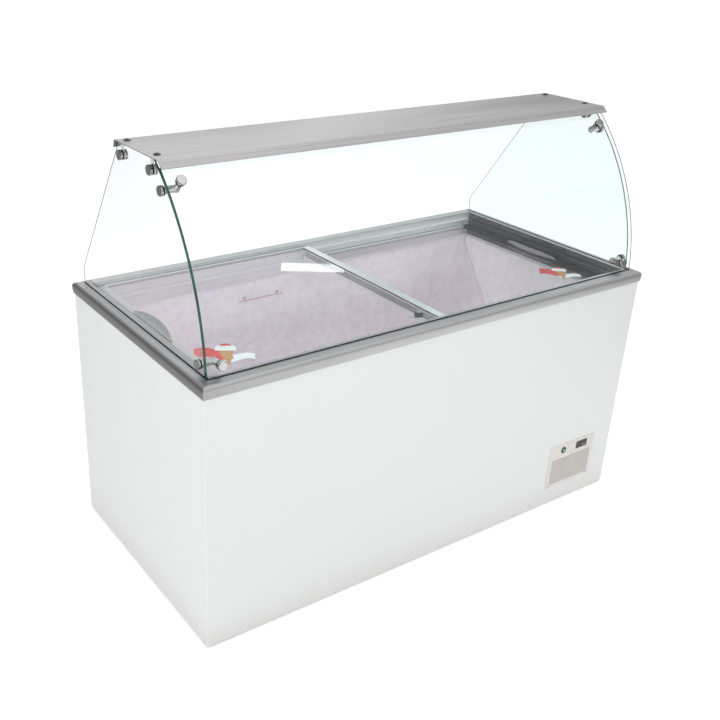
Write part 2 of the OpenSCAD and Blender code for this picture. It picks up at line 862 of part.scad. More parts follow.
module switch_body() {
    y0 = -half_d - plate_t;
    color("darkgreen") difference() {
        union() {
            y_rod(switch_x, y0 + sink - 1, ctrl_z, switch_r + 2, 1);
            y_rod(switch_x, y0 + sink, ctrl_z, switch_r, 20 - sink);
        }
        y_rod(switch_x, y0 - 1, ctrl_z, switch_r - 1, 11);
    }
}

// Round rocker, pressed in at its lower side when on
module power_rocker() {
    color("limegreen") translate([switch_x, -half_d, ctrl_z]) rotate([rocker_tilt, 0, 0]) {
        y_rod(0, -2.6, 0, switch_r - 1.3, 5.2);
        rotate([0, 90, 0]) cylinder(r = 1.5, h = 2 * switch_r - 2.6, center = true);
    }
}

module temperature_display() {
    y0 = -half_d - plate_t;
    color("black") {
        span([display_x - display_w / 2 + eps, y0 + sink - 0.6, ctrl_z - display_hgt / 2 + eps],
             [display_x + display_w / 2 - eps, y0 + 4, ctrl_z + display_hgt / 2 - eps]);
        span([display_x - 20, y0 + 4, ctrl_z - 8.5], [display_x + 20, y0 + 20, ctrl_z + 8.5]);
    }
}

// ---------- machine bay ----------

module bay_bulkhead() {
    y = half_d - sheet_t - eps;
    color("gainsboro") {
        span([bay_x - sheet_t, -y, floor_gap + sheet_t], [bay_x, y, bay_h + sheet_t]);
        span([bay_x - sheet_t, -y, bay_h], [half_w - sheet_t - eps, y, bay_h + sheet_t]);
    }
}

module rear_vent_grille() {
    rows = 9;
    pitch = vent_h / rows;
    color("gainsboro") difference() {
        span([vent_x0 - 8, half_d, vent_z0 - 8], [vent_x0 + vent_w + 8, half_d + 2, vent_z0 + vent_h + 8]);
        for (i = [0 : rows - 1])
            span([vent_x0 + 5, half_d - 1, vent_z0 + i * pitch + 4],
                 [vent_x0 + vent_w - 5, half_d + 3, vent_z0 + (i + 1) * pitch - 4]);
    }
}

module cable_gland() {
    color("dimgray") difference() {
        union() {
            y_rod(gland_x, half_d, gland_z, 12, 3);
            y_rod(gland_x, half_d - 16, gland_z, 8, 17);
            y_rod(gland_x, half_d - sheet_t - 6, gland_z, 12, 6);
        }
        y_rod(gland_x, half_d - 20, gland_z, 4.2, 30);
    }
}

// Hermetic compressor: domed pot on a plate with four legs, and its pipe stubs
module compressor() {
    color("dimgray") translate([comp_x, comp_y, 0]) difference() {
        union() {
            translate([0, 0, plate_z]) cylinder(r1 = comp_r - 14, r2 = comp_r, h = pot_z - plate_z);
            translate([0, 0, pot_z]) cylinder(r = comp_r, h = pot_h);
            translate([0, 0, pot_z + pot_h - 16]) cylinder(r = comp_r + 3, h = 8);
            translate([0, 0, pot_z + pot_h]) intersection() {
                translate([0, 0, -40]) sphere(r = sqrt(comp_r * comp_r + 1600));
                cylinder(r = comp_r, h = 80);
            }
            span([-comp_plate[0], -comp_plate[1], plate_z - 3], [comp_plate[0], comp_plate[1], plate_z]);
            translate([0, 0, plate_z - 1]) cylinder(r = 40, h = 4);
        }
        for (x = [-1, 1] * comp_bolt[0], y = [-1, 1] * comp_bolt[1])
            translate([x, y, 20]) cylinder(r = 5.2, h = 30);
    }
}

module compressor_grommets() {
    low = floor_gap + sheet_t;
    color("black") translate([comp_x, comp_y, 0])
        for (x = [-1, 1] * comp_bolt[0], y = [-1, 1] * comp_bolt[1]) translate([x, y, 0]) {
            translate([0, 0, low]) cylinder(r = 11, h = plate_z - 3 - low);
            translate([0, 0, plate_z - 3]) cylinder(r = 5, h = 3);
            translate([0, 0, plate_z]) cylinder(r = 8, h = 4);
        }
}

module relay_box() {
    color("black") difference() {
        span([comp_x - comp_r - 26, comp_y - 26, 56], [comp_x - 55, comp_y + 26, 104]);
        translate([comp_x, comp_y, 40]) cylinder(r = comp_r + 0.2, h = 90);
    }
}

// Fin and tube block behind the front grille, between two end plates
module condenser() {
    x0 = fan_x - cond_w / 2;
    fins = 20;
    pitch = cond_w / (fins + 1);
    turn_y = (cond_tube_y[0] + cond_tube_y[1]) / 2;
    turn_r = (cond_tube_y[1] - cond_tube_y[0]) / 2;
    color("silver") {
        for (x = [x0, x0 + cond_w - 1.5])
            span([x, cond_y[0], floor_gap + sheet_t], [x + 1.5, cond_y[1], cond_top]);
        for (i = [1 : fins]) span([x0 + i * pitch, cond_y[0] + 2, 52],
                                  [x0 + i * pitch + 0.8, cond_y[1] - 2, cond_top - 4]);
        for (y = cond_tube_y, j = [0 : cond_rows - 1])
            translate([x0 - 8, y, cond_z0 + cond_gap * j])
            rotate([0, 90, 0]) cylinder(r = tube_r, h = cond_w + 16);
        for (j = [0 : cond_rows - 1]) translate([x0 - 8, turn_y, cond_z0 + cond_gap * j])
            rotate([0, 0, 90]) rotate_extrude(angle = 180) translate([turn_r, 0]) circle(r = tube_r);
        for (j = [0 : cond_rows - 2])
            translate([x0 + cond_w + 8, cond_tube_y[1 - j % 2], cond_z0 + cond_gap * (j + 0.5)])
            rotate([90, 0, 0]) rotate([0, 0, -90]) rotate_extrude(angle = 180)
            translate([cond_gap / 2, 0]) circle(r = tube_r);
    }
}

module fan_shroud() {
    color("gray") difference() {
        union() {
            span([fan_x - cond_w / 2, shroud_y, floor_gap + sheet_t],
                 [fan_x + cond_w / 2, shroud_y + 2, cond_top + 2]);
            for (a = [30, 150, 270]) translate([fan_x, 0, fan_z]) rotate([0, a, 0]) {
                y_rod(ring_r + 8, shroud_y + 1, 0, 3, 55);
                span([30, -266, -4], [91, -262, 4]);
            }
            y_rod(fan_x, -270, fan_z, motor_r + 4, 12);
        }
        y_rod(fan_x, shroud_y - 2, fan_z, ring_r, 10);
        y_rod(fan_x, motor_y + 1, fan_z, motor_r + 0.1, 30);
    }
}

module fan_motor() {
    color("dimgray") {
        y_rod(fan_x, motor_y, fan_z, motor_r, 50);
        y_rod(fan_x, -302, fan_z, 3, 30);
    }
}

module fan_blade() {
    color("white") difference() {
        union() {
            y_rod(fan_x, -306, fan_z, hub_r, 24);
            translate([fan_x, 0, fan_z]) intersection() {
                y_rod(0, -308, 0, ring_r - 6, 30);
                for (k = [0 : blades - 1]) rotate([0, 360 / blades * k, 0]) translate([45, -294, 0])
                    rotate([28, 0, 0]) cube([70, 1.6, 44], center = true);
            }
        }
        y_rod(fan_x, -303, fan_z, 3.05, 30);
    }
}

// ---------- assembly ----------

front_panel();
left_panel();
right_panel();
rear_panel();
base_plate();
levelling_feet();
insulation();
inner_liner();
evaporator_tube();
drain_fitting();
drain_plug();
rim_front();
rim_rear();
rim_left();
rim_right();
rim_corner_keys();
track_front();
track_rear();
track_left();
track_right();
front_glass_gasket();
side_glass_gaskets();
left_lid_glass();
left_lid_runners();
left_lid_end_frame();
left_lid_grip();
left_lid_meeting_bar();
left_lid_seal();
lid_lock_body();
lid_lock_cylinder();
right_lid_glass();
right_lid_runners();
right_lid_end_frame();
right_lid_grip();
right_lid_meeting_bar();
right_lid_seal();
left_side_glass();
right_side_glass();
curved_front_glass();
top_shelf();
shelf_bolts();
shelf_brackets();
clamp_discs();
clamp_washers();
corner_connectors();
control_grille();
grille_screws();
switch_body();
power_rocker();
temperature_display();
bay_bulkhead();
rear_vent_grille();
cable_gland();
compressor();
compressor_grommets();
relay_box();
condenser();
fan_shroud();
fan_motor();
fan_blade();
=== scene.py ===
"""Chest freezer with two sliding glass lids and a curved glass canopy: the visual model.

Every length is in metres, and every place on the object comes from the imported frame. Each visible
part has its own short function, and so has each kind of material.
"""
import math
import bmesh
import bpy
from mathutils import Matrix, Vector


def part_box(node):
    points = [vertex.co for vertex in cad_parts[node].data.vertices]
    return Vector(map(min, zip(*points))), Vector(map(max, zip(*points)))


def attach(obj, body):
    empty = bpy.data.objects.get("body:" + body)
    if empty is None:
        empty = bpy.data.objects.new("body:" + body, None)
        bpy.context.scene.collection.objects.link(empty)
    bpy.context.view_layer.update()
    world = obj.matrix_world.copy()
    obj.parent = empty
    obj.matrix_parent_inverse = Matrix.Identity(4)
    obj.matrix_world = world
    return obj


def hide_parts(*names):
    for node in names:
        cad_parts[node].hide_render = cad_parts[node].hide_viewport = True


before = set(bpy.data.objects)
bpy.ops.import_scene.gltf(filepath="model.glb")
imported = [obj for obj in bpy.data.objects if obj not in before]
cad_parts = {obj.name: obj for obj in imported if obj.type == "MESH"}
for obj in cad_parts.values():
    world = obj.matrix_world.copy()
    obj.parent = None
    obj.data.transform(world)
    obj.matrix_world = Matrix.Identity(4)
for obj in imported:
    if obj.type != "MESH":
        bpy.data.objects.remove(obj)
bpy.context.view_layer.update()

MM = 0.001

# Strength of the surround for matt surfaces, and of the floor's own light as the camera sees it
# and as matt surfaces receive it.
WORLD_LIGHT = 0.80
FLOOR_GLOW = 0.31
FLOOR_BOUNCE = 0.02

# ------------------------ sizes taken from the frame


def low(node):
    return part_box(node)[0]


def high(node):
    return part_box(node)[1]


HALF_W = high("front_panel").x
HALF_D = -low("front_panel").y
BASE_Z = low("front_panel").z
SEAT_Z = low("rim_front").z
RIM_TOP = high("rim_front").z - SEAT_Z
OVER = -low("rim_front").y - HALF_D
GLASS_X = (low("left_side_glass").x + high("left_side_glass").x) / 2
GLASS_U = HALF_W + GLASS_X
PANE_T = high("left_side_glass").x - low("left_side_glass").x
SHELF_LO, SHELF_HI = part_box("top_shelf")

# Section of the lid track: u runs inward from the panels, z up from the rim's seat. The lids'
# runners ride RUN_GAP over their ledges.
RUN_GAP = 0.3 * MM
LIP_U = high("rim_front").y + HALF_D
STEP_U = HALF_W - high("right_lid_end_frame").x - 1 * MM
TRACK_IN = high("track_front").y + HALF_D
TRACK_TOP = high("track_front").z - SEAT_Z
COLLAR_Z = low("track_front").z - SEAT_Z
UPPER_LEDGE = low("left_lid_runners").z - RUN_GAP - SEAT_Z
LOWER_LEDGE = low("right_lid_runners").z - RUN_GAP - SEAT_Z


def canopy_arc():
    """(centre y, centre z, inner radius, outer radius) of the bent front glass."""
    pts = [v.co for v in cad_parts["curved_front_glass"].data.vertices]
    outer = max(pts, key=lambda p: p.z)
    inner = max(pts, key=lambda p: p.y)
    y = outer.y + (inner.y - outer.y) * (SEAT_Z - outer.z) / (inner.z - outer.z)
    centre = Vector((y, SEAT_Z))
    return (y, SEAT_Z, (Vector((inner.y, inner.z)) - centre).length,
            (Vector((outer.y, outer.z)) - centre).length)


ARC_Y, ARC_Z, ARC_IN, ARC_OUT = canopy_arc()

# ------------------------ node helpers


class Tree:
    """Short calls that add shader nodes to one node tree; most return its output."""

    def __init__(self, tree, space="Object"):
        self.tree = tree
        self.coord = self.add("ShaderNodeTexCoord").outputs[space]

    def add(self, kind, **inputs):
        node = self.tree.nodes.new(kind)
        for key, value in inputs.items():
            node.inputs[key.replace("_", " ")].default_value = value
        return node

    def link(self, a, b):
        self.tree.links.new(a, b)

    def axis(self, which):
        node = self.add("ShaderNodeSeparateXYZ")
        self.link(self.coord, node.inputs["Vector"])
        return node.outputs[which]

    def stretch(self, scale):
        node = self.add("ShaderNodeMapping", Scale=scale)
        self.link(self.coord, node.inputs["Vector"])
        return node.outputs["Vector"]

    def noise(self, scale, detail, rough=0.5, vector=None):
        node = self.add("ShaderNodeTexNoise", Scale=scale, Detail=detail, Roughness=rough)
        self.link(vector or self.coord, node.inputs["Vector"])
        return node.outputs["Fac"]

    def voronoi(self, scale, feature="F1"):
        node = self.add("ShaderNodeTexVoronoi")
        node.feature = feature
        node.inputs["Scale"].default_value = scale
        self.link(self.coord, node.inputs["Vector"])
        return node.outputs["Distance"]

    def span(self, value, a, b, lo=0.0, hi=1.0):
        """Carries value from the range lo to hi over to the range a to b."""
        node = self.add("ShaderNodeMapRange", From_Min=lo, From_Max=hi, To_Min=a, To_Max=b)
        self.link(value, node.inputs["Value"])
        return node.outputs["Result"]

    def ramp(self, value, stops):
        """Colour ramp; a stop's colour is a triple, or one number for a grey."""
        node = self.add("ShaderNodeValToRGB")
        for _ in range(len(stops) - 2):
            node.color_ramp.elements.new(0.5)
        for element, (place, colour) in zip(node.color_ramp.elements, stops):
            element.position = place
            element.color = (*(colour if isinstance(colour, tuple) else (colour,) * 3), 1)
        self.link(value, node.inputs["Fac"])
        return node.outputs["Color"]

    def drift(self, value, dark, light):
        """Colour that wanders between two tones as a noise does."""
        return self.ramp(value, [(0.3, dark), (0.7, light)])

    def maths(self, how, *values):
        node = self.add("ShaderNodeMath")
        node.operation = how
        for socket, value in zip(node.inputs, values):
            if hasattr(value, "links"):
                self.link(value, socket)
            else:
                socket.default_value = value
        return node.outputs["Value"]

    def mix(self, factor, first, second):
        node = self.add("ShaderNodeMixShader")
        for socket, value in zip(node.inputs, (factor, first, second)):
            self.link(value, socket)
        return node.outputs["Shader"]

    def light_path(self):
        return self.add("ShaderNodeLightPath").outputs


class Nodes(Tree):
    """The node tree of a new material around one Principled shader."""

    def __init__(self, name):
        self.mat = bpy.data.materials.new(name)
        self.mat.use_nodes = True
        super().__init__(self.mat.node_tree)
        self.bsdf = self.tree.nodes["Principled BSDF"]

    def set(self, **values):
        for key, value in values.items():
            socket = self.bsdf.inputs[key.replace("_", " ")]
            if hasattr(value, "links"):
                self.link(value, socket)
            elif isinstance(value, tuple):
                socket.default_value = (*value, 1)
            else:
                socket.default_value = value

    def bump(self, height, strength, distance):
        node = self.add("ShaderNodeBump", Strength=strength, Distance=distance)
        self.link(height, node.inputs["Height"])
        return node.outputs["Normal"]

    def surface(self, shader):
        self.link(shader, self.tree.nodes["Material Output"].inputs["Surface"])

    def lamps_pass(self, tint):
        """Light from lamps and from matt surfaces goes straight through, as in a thin pane."""
        path = self.light_path()
        clear = self.add("ShaderNodeBsdfTransparent", Color=(*tint, 1)).outputs["BSDF"]
        both = self.maths("MAXIMUM", path["Is Shadow Ray"], path["Is Diffuse Ray"])
        self.surface(self.mix(both, self.bsdf.outputs["BSDF"], clear))


# ------------------------ materials


def mat_enamel():
    """Gloss white powder coat: faint orange peel, and painted shade in patches low down near the floor.
    """
    n = Nodes("enamel_white")
    # painted shade: the coat darkens in patches over its lowest ten centimetres, where the floor shades
    # it
    low_down = n.span(n.axis("Z"), 1.0, 0.0, 0.01, 0.10)
    painted_shade = n.maths("MULTIPLY", low_down, n.noise(18, 5, 0.65))
    peel = n.bump(n.noise(55, 2), 0.02, 0.0003)
    n.set(Base_Color=n.ramp(painted_shade, [(0.0, (0.735, 0.746, 0.741)), (1.0, (0.65, 0.65, 0.635))]),
          Roughness=n.span(n.noise(6, 3), 0.30, 0.36, 0.3, 0.7), Normal=peel,
          Coat_Weight=0.25, Coat_Roughness=0.10)
    return n.mat


def along_axis(name, along, across):
    """Texture scale that is low along one axis ("X", "Y" or "Z") and high across it."""
    return [along if letter == name else across for letter in "XYZ"]


def mat_metal(name, colour, rough, along, grain, wear):
    """Drawn or brushed metal whose fine lines run along one axis."""
    n = Nodes(name)
    lines = n.noise(1.0, 4, 0.6, n.stretch(along_axis(along, 3.0, 900.0)))
    bands = n.noise(1.0, 2, 0.5, n.stretch(along_axis(along, 0.8, 120.0)))
    both = n.maths("ADD", n.maths("MULTIPLY", lines, 0.8), n.maths("MULTIPLY", bands, 0.2))
    dark = tuple(c * (1 - 0.16 * grain) for c in colour)
    light = tuple(min(1, c * (1 + 0.10 * grain)) for c in colour)
    cloud = n.span(n.noise(6, 5, 0.6), -wear, wear, 0.3, 0.7)
    n.set(Base_Color=n.ramp(both, [(0.32, dark), (0.68, light)]), Metallic=1.0,
          Roughness=n.maths("ADD", n.span(both, rough * 0.8, rough * 1.25, 0.35, 0.65), cloud),
          Normal=n.bump(lines, 0.10 * grain, 0.0002), Anisotropic=0.55)
    return n.mat


def mat_extruded(name, colour, rough, along, metallic=1.0):
    """Smooth anodised extrusion: die lines several millimetres wide that run along it."""
    n = Nodes(name)
    lines = n.noise(1.0, 1, 0.4, n.stretch(along_axis(along, 0.04, 110.0)))
    drift = n.noise(5, 3)
    dark = tuple(c * 0.92 for c in colour)
    light = tuple(min(1, c * 1.07) for c in colour)
    n.set(Base_Color=n.ramp(lines, [(0.36, dark), (0.64, light)]), Metallic=metallic,
          Roughness=n.span(drift, rough * 0.9, rough * 1.1, 0.35, 0.65),
          Normal=n.bump(lines, 0.04, 0.0004))
    return n.mat


def mat_grille():
    """Moulded ivory plastic, with painted shade deep between its louvres that turns nearly black at the
    back.
    """
    n = Nodes("plastic_ivory")
    face = low("control_grille").y
    # painted shade: the deeper into the grille, the darker, down to near black between the louvres
    depth = n.span(n.axis("Y"), 0.0, 1.0, face + 1.9 * MM, face + 3.3 * MM)
    painted_shade = n.maths("MULTIPLY", depth, n.span(n.noise(30, 4), 0.8, 1.0, 0.3, 0.7))
    n.set(Base_Color=n.ramp(painted_shade, [(0.0, (0.71, 0.69, 0.65)), (0.5, (0.68, 0.65, 0.61)),
                                   (1.0, (0.10, 0.085, 0.07))]),
          Roughness=n.span(n.noise(60, 3), 0.42, 0.50, 0.3, 0.7),
          Normal=n.bump(n.noise(700, 2), 0.08, 0.0003))
    return n.mat


def mat_stucco():
    """Embossed liner sheet: hammered cells and soft dents under a satin coat, frosty mauve."""
    n = Nodes("liner_stucco")
    cells = n.voronoi(95, "SMOOTH_F1")
    dents = n.noise(34, 3, 0.6)
    fine = n.noise(240, 3, 0.6)
    height = n.maths("ADD", n.maths("MULTIPLY", cells, 0.8), dents)
    tone = n.maths("ADD", n.maths("MULTIPLY", n.noise(2.4, 5, 0.65), 0.6),
                   n.maths("MULTIPLY", dents, 0.4))
    n.set(Base_Color=n.ramp(tone, [(0.36, (0.74, 0.64, 0.70)), (0.5, (0.87, 0.775, 0.835)),
                                   (0.62, (0.96, 0.90, 0.93))]),
          Metallic=0.1, Roughness=n.span(fine, 0.34, 0.5, 0.3, 0.7),
          Normal=n.bump(height, 0.9, 0.005))
    return n.mat


def mat_plastic(name, colour, rough=0.42, grain=700):
    """Moulded plastic: fine spark texture and a little tonal drift."""
    n = Nodes(name)
    dark = tuple(c * 0.95 for c in colour)
    light = tuple(min(1, c * 1.05) for c in colour)
    n.set(Base_Color=n.drift(n.noise(14, 4), dark, light),
          Roughness=n.span(n.noise(60, 3), rough * 0.88, rough * 1.12, 0.3, 0.7),
          Normal=n.bump(n.noise(grain, 2), 0.10, 0.0003))
    return n.mat


def mat_rubber():
    """Matt black rubber."""
    n = Nodes("rubber_black")
    n.set(Base_Color=n.drift(n.noise(40, 4), 0.012, 0.03),
          Roughness=n.span(n.noise(90, 3), 0.5, 0.68, 0.3, 0.7),
          Normal=n.bump(n.noise(900, 2), 0.15, 0.0003))
    return n.mat


def mat_pane(name, tint, smear):
    """Thin clear pane; smear is how far faint wiping marks roughen it."""
    n = Nodes(name)
    wipe = n.noise(3.5, 5, 0.7, n.stretch((1, 3, 1)))
    n.set(Base_Color=tint, Transmission_Weight=1.0, IOR=1.45,
          Roughness=n.span(wipe, 0.0, smear, 0.45, 0.8))
    n.lamps_pass(tint)
    return n.mat


def mat_glass_edge():
    """Ground and polished edge of float glass, deep green."""
    n = Nodes("glass_edge_green")
    n.set(Base_Color=n.drift(n.noise(30, 3), (0.004, 0.045, 0.032), (0.010, 0.095, 0.065)),
          Roughness=0.12, Coat_Weight=0.6, Coat_Roughness=0.03)
    return n.mat


def mat_glow(name, colour, strength):
    """Faintly lit plastic lens."""
    n = Nodes(name)
    n.set(Base_Color=n.drift(n.noise(200, 2), tuple(c * 0.8 for c in colour), colour),
          Emission_Color=colour, Emission_Strength=strength, Roughness=0.25)
    return n.mat


def mat_foam():
    """Cut polyurethane foam with open cells."""
    n = Nodes("foam_yellow")
    n.set(Base_Color=n.drift(n.noise(60, 6), (0.72, 0.60, 0.30), (0.85, 0.75, 0.45)),
          Roughness=0.9, Normal=n.bump(n.voronoi(300), 0.4, 0.001))
    return n.mat


def mat_film(name, colour, rough=0.35):
    """Printed vinyl film."""
    n = Nodes(name)
    dark = tuple(c * 0.9 for c in colour)
    n.set(Base_Color=n.drift(n.noise(50, 3), dark, colour), Roughness=rough,
          Normal=n.bump(n.noise(120, 2), 0.05, 0.0003))
    return n.mat


def make_materials():
    """Every material, by the short key that the pieces use."""
    grey = (0.56, 0.56, 0.565)
    return {
        "enamel": mat_enamel(),
        "rim_x": mat_metal("rim_alu_x", grey, 0.42, "X", 0.35, 0.03),
        "rim_y": mat_metal("rim_alu_y", grey, 0.42, "Y", 0.35, 0.03),
        "track_x": mat_extruded("track_alu_x", (0.80, 0.80, 0.805), 0.37, "X", 0.55),
        "track_y": mat_extruded("track_alu_y", (0.46, 0.47, 0.475), 0.18, "Y"),
        # painted shade: the right track is the same aluminium as the left one, painted darker where its
        # risers mirror the dark side of the studio
        "track_painted_shade": mat_extruded("track_alu_painted_shade", (0.20, 0.21, 0.215), 0.34, "Y"),
        "end_light": mat_extruded("lid_end_light", (0.50, 0.48, 0.49), 0.38, "Y"),
        # painted shade: the right lid's end frame is the same extrusion as the left one, painted near
        # black as it lies in the shade of the riser
        "end_painted_shade": mat_extruded("lid_end_painted_shade", (0.07, 0.075, 0.077), 0.34, "Y"),
        "shelf": mat_metal("shelf_steel", (0.585, 0.575, 0.58), 0.37, "X", 1.9, 0.01),
        "galvanised": mat_metal("galvanised", (0.58, 0.59, 0.60), 0.44, "X", 1.0, 0.06),
        "clamp": mat_metal("clamp_nickel", (0.60, 0.60, 0.585), 0.14, "Z", 0.3, 0.03),
        "bolt": mat_metal("bolt_black", (0.10, 0.12, 0.14), 0.18, "Z", 0.6, 0.02),
        "copper": mat_metal("copper", (0.70, 0.36, 0.22), 0.38, "X", 0.6, 0.01),
        "liner": mat_stucco(),
        "foam": mat_foam(),
        "grey": mat_plastic("plastic_grey", (0.42, 0.42, 0.425)),
        "grip": mat_plastic("plastic_grip", (0.27, 0.27, 0.27), 0.18, 300),
        "bar": mat_plastic("plastic_bar", (0.66, 0.655, 0.65)),
        "ivory": mat_grille(),
        "black": mat_plastic("plastic_black", (0.022, 0.022, 0.024), 0.36),
        "white_plastic": mat_plastic("plastic_white", (0.7, 0.71, 0.72), 0.4),
        "enamel_black": mat_plastic("enamel_black", (0.02, 0.02, 0.022), 0.22, 250),
        "rubber": mat_rubber(),
        "lid_glass": mat_pane("lid_pane", (0.95, 0.90, 0.935), 0.08),
        "end_glass": mat_pane("end_pane", (0.967, 0.998, 0.996), 0.015),
        "canopy_glass": mat_pane("canopy_pane", (0.93, 0.995, 0.992), 0.015),
        "edge": mat_glass_edge(),
        "switch_dark": mat_plastic("switch_dark", (0.006, 0.055, 0.03), 0.3),
        "switch_lit": mat_glow("switch_lit", (0.006, 0.10, 0.055), 0.05),
        "switch_dot": mat_glow("switch_dot", (0.45, 0.75, 0.62), 0.25),
        "display": mat_plastic("display_smoke", (0.012, 0.011, 0.008), 0.22, 100),
        "coral": mat_film("film_coral", (0.72, 0.035, 0.035), 0.5),
        "film_white": mat_film("film_white", (0.90, 0.89, 0.90)),
        "film_tan": mat_film("film_tan", (0.58, 0.27, 0.08), 0.5),
        "film_red": mat_film("film_red", (0.55, 0.02, 0.03)),
    }


# ------------------------ mesh helpers


def finish_mesh(name, bm, materials, body, sharp=32, bevel=0.0):
    """Turns bm into a piece on a body: outward normals, smooth faces, sharp edges by angle."""
    bmesh.ops.remove_doubles(bm, verts=bm.verts, dist=1e-6)
    bmesh.ops.recalc_face_normals(bm, faces=bm.faces)
    for face in bm.faces:
        face.smooth = True
    for edge in bm.edges:
        if len(edge.link_faces) == 2 and edge.calc_face_angle(0) > math.radians(sharp):
            edge.smooth = False
    mesh = bpy.data.meshes.new(name)
    bm.to_mesh(mesh)
    bm.free()
    obj = bpy.data.objects.new(name, mesh)
    bpy.context.scene.collection.objects.link(obj)
    for material in materials if isinstance(materials, list) else [materials]:
        mesh.materials.append(material)
    if bevel:
        add_bevel(obj, bevel)
    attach(obj, body)
    return obj


def add_bevel(obj, width, segments=2, angle=32):
    mod = obj.modifiers.new("edge_round", "BEVEL")
    mod.width = width
    mod.segments = segments
    mod.limit_method = "ANGLE"
    mod.angle_limit = math.radians(angle)
    mod.harden_normals = True


def loft(bm, rings, closed=True, caps=True):
    """Joins equal rings of points by quads; returns the side faces."""
    rows = [[bm.verts.new(p) for p in ring] for ring in rings]
    count = len(rows[0])
    faces = []
    for a, b in zip(rows, rows[1:]):
        for i in range(count if closed else count - 1):
            j = (i + 1) % count
            faces.append(bm.faces.new((a[i], a[j], b[j], b[i])))
    if caps:
        bm.faces.new(rows[0][::-1])
        bm.faces.new(rows[-1])
    return faces


def on_circle(cx, cy, r, angles):
    return [(cx + r * math.cos(math.radians(a)), cy + r * math.sin(math.radians(a))) for a in angles]


def arc(cx, cy, r, a0, a1, steps):
    return on_circle(cx, cy, r, [a0 + (a1 - a0) * i / steps for i in range(steps + 1)])


def prism_x(bm, outline, x0, x1):
    loft(bm, [[(x, y, z) for y, z in outline] for x in (x0, x1)])


def box(bm, a, b):
    """An upright box from its lowest to its highest corner."""
    prism_x(bm, [(a[1], a[2]), (b[1], a[2]), (b[1], b[2]), (a[1], b[2])], a[0], b[0])


def mitred(bm, outline, side, gap=0.12 * MM):
    """A bar of outline (u inward, z up from the seat) along one side, mitred at both ends."""
    length = HALF_W if side in ("front", "rear") else HALF_D
    place = {"front": lambda along, u: (along, u - HALF_D),
             "rear": lambda along, u: (along, HALF_D - u),
             "left": lambda along, u: (u - HALF_W, along),
             "right": lambda along, u: (HALF_W - u, along)}[side]
    loft(bm, [[(*place(end * (length - u - gap), u), SEAT_Z + z) for u, z in outline]
              for end in (-1, 1)])


def lathe(bm, profile, place, steps):
    """Turns (radius, height) about +Z and moves the result by the matrix place."""
    rings = []
    for i in range(steps):
        a = 2 * math.pi * i / steps
        rings.append([place @ Vector((r * math.cos(a), r * math.sin(a), h)) for r, h in profile])
    rings.append(rings[0])
    loft(bm, rings, closed=False, caps=False)


def turned(origin, axis):
    """Matrix that puts +Z along axis at origin."""
    rot = Vector((0, 0, 1)).rotation_difference(Vector(axis)).to_matrix().to_4x4()
    return Matrix.Translation(Vector(origin)) @ rot


def paint(node, material, bevel=0.0, segments=2, angle=32):
    """Gives a CAD node a material and, if asked, softly rounded edges."""
    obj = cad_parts[node]
    for slot in obj.material_slots:
        slot.link = "OBJECT"
        slot.material = material
    if bevel:
        add_bevel(obj, bevel, segments, angle)


# ------------------------ cabinet


def rounded_plan(r, breaks_front, breaks_rear):
    """Plan of the cabinet with corner radius r, counter-clockwise from the front left."""
    w, d = HALF_W - r, HALF_D - r
    pts = [(x, -HALF_D) for x in (-w, *breaks_front)]
    pts += arc(w, -d, r, -90, 0, 6) + arc(w, d, r, 0, 90, 6)
    pts += [(x, HALF_D) for x in sorted(breaks_rear, reverse=True)]
    return pts + arc(-w, d, r, 90, 180, 6) + arc(-w, -d, r, 180, 270, 6)[:-1]


def make_shell(mats):
    """Outer sheet with folded corners, a hem at the foot, and the two grille openings."""
    grille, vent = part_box("control_grille"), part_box("rear_vent_grille")
    frame_w, frame_foot, vent_w = 6 * MM, 11 * MM, 8 * MM
    fx = (grille[0].x + frame_w, grille[1].x - frame_w)
    fz = (grille[0].z + frame_foot, grille[1].z - frame_w)
    rx = (vent[0].x + vent_w, vent[1].x - vent_w)
    rz = (vent[0].z + vent_w, vent[1].z - vent_w)

    def is_open(x, y, z):
        in_front = y < -HALF_D + MM and fx[0] < x < fx[1] and fz[0] < z < fz[1]
        in_rear = y > HALF_D - MM and rx[0] < x < rx[1] and rz[0] < z < rz[1]
        return in_front or in_rear

    corner_r, tuck = 3.5 * MM, 9 * MM
    plan = rounded_plan(corner_r, fx, rx)
    levels = sorted([BASE_Z, *fz, *rz, SEAT_Z + tuck])
    bm = bmesh.new()
    rows = [[bm.verts.new((x, y, z)) for x, y in plan] for z in levels]
    hem = [bm.verts.new((x * 0.99, y * 0.98, BASE_Z)) for x, y in plan]
    n = len(plan)
    for lower, upper, z0, z1 in zip(rows, rows[1:], levels, levels[1:]):
        for i in range(n):
            j = (i + 1) % n
            x, y = ((a + b) / 2 for a, b in zip(plan[i], plan[j]))
            if not is_open(x, y, (z0 + z1) / 2):
                bm.faces.new((lower[i], lower[j], upper[j], upper[i]))
    for i in range(n):
        j = (i + 1) % n
        bm.faces.new((hem[i], hem[j], rows[0][j], rows[0][i]))
    obj = finish_mesh("cabinet_shell", bm, mats["enamel"], "cabinet", 50)
    solid = obj.modifiers.new("sheet", "SOLIDIFY")
    solid.thickness = 0.9 * MM
    solid.offset = -1
    add_bevel(obj, 0.35 * MM, 2, 50)
    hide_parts("front_panel", "left_panel", "right_panel", "rear_panel")


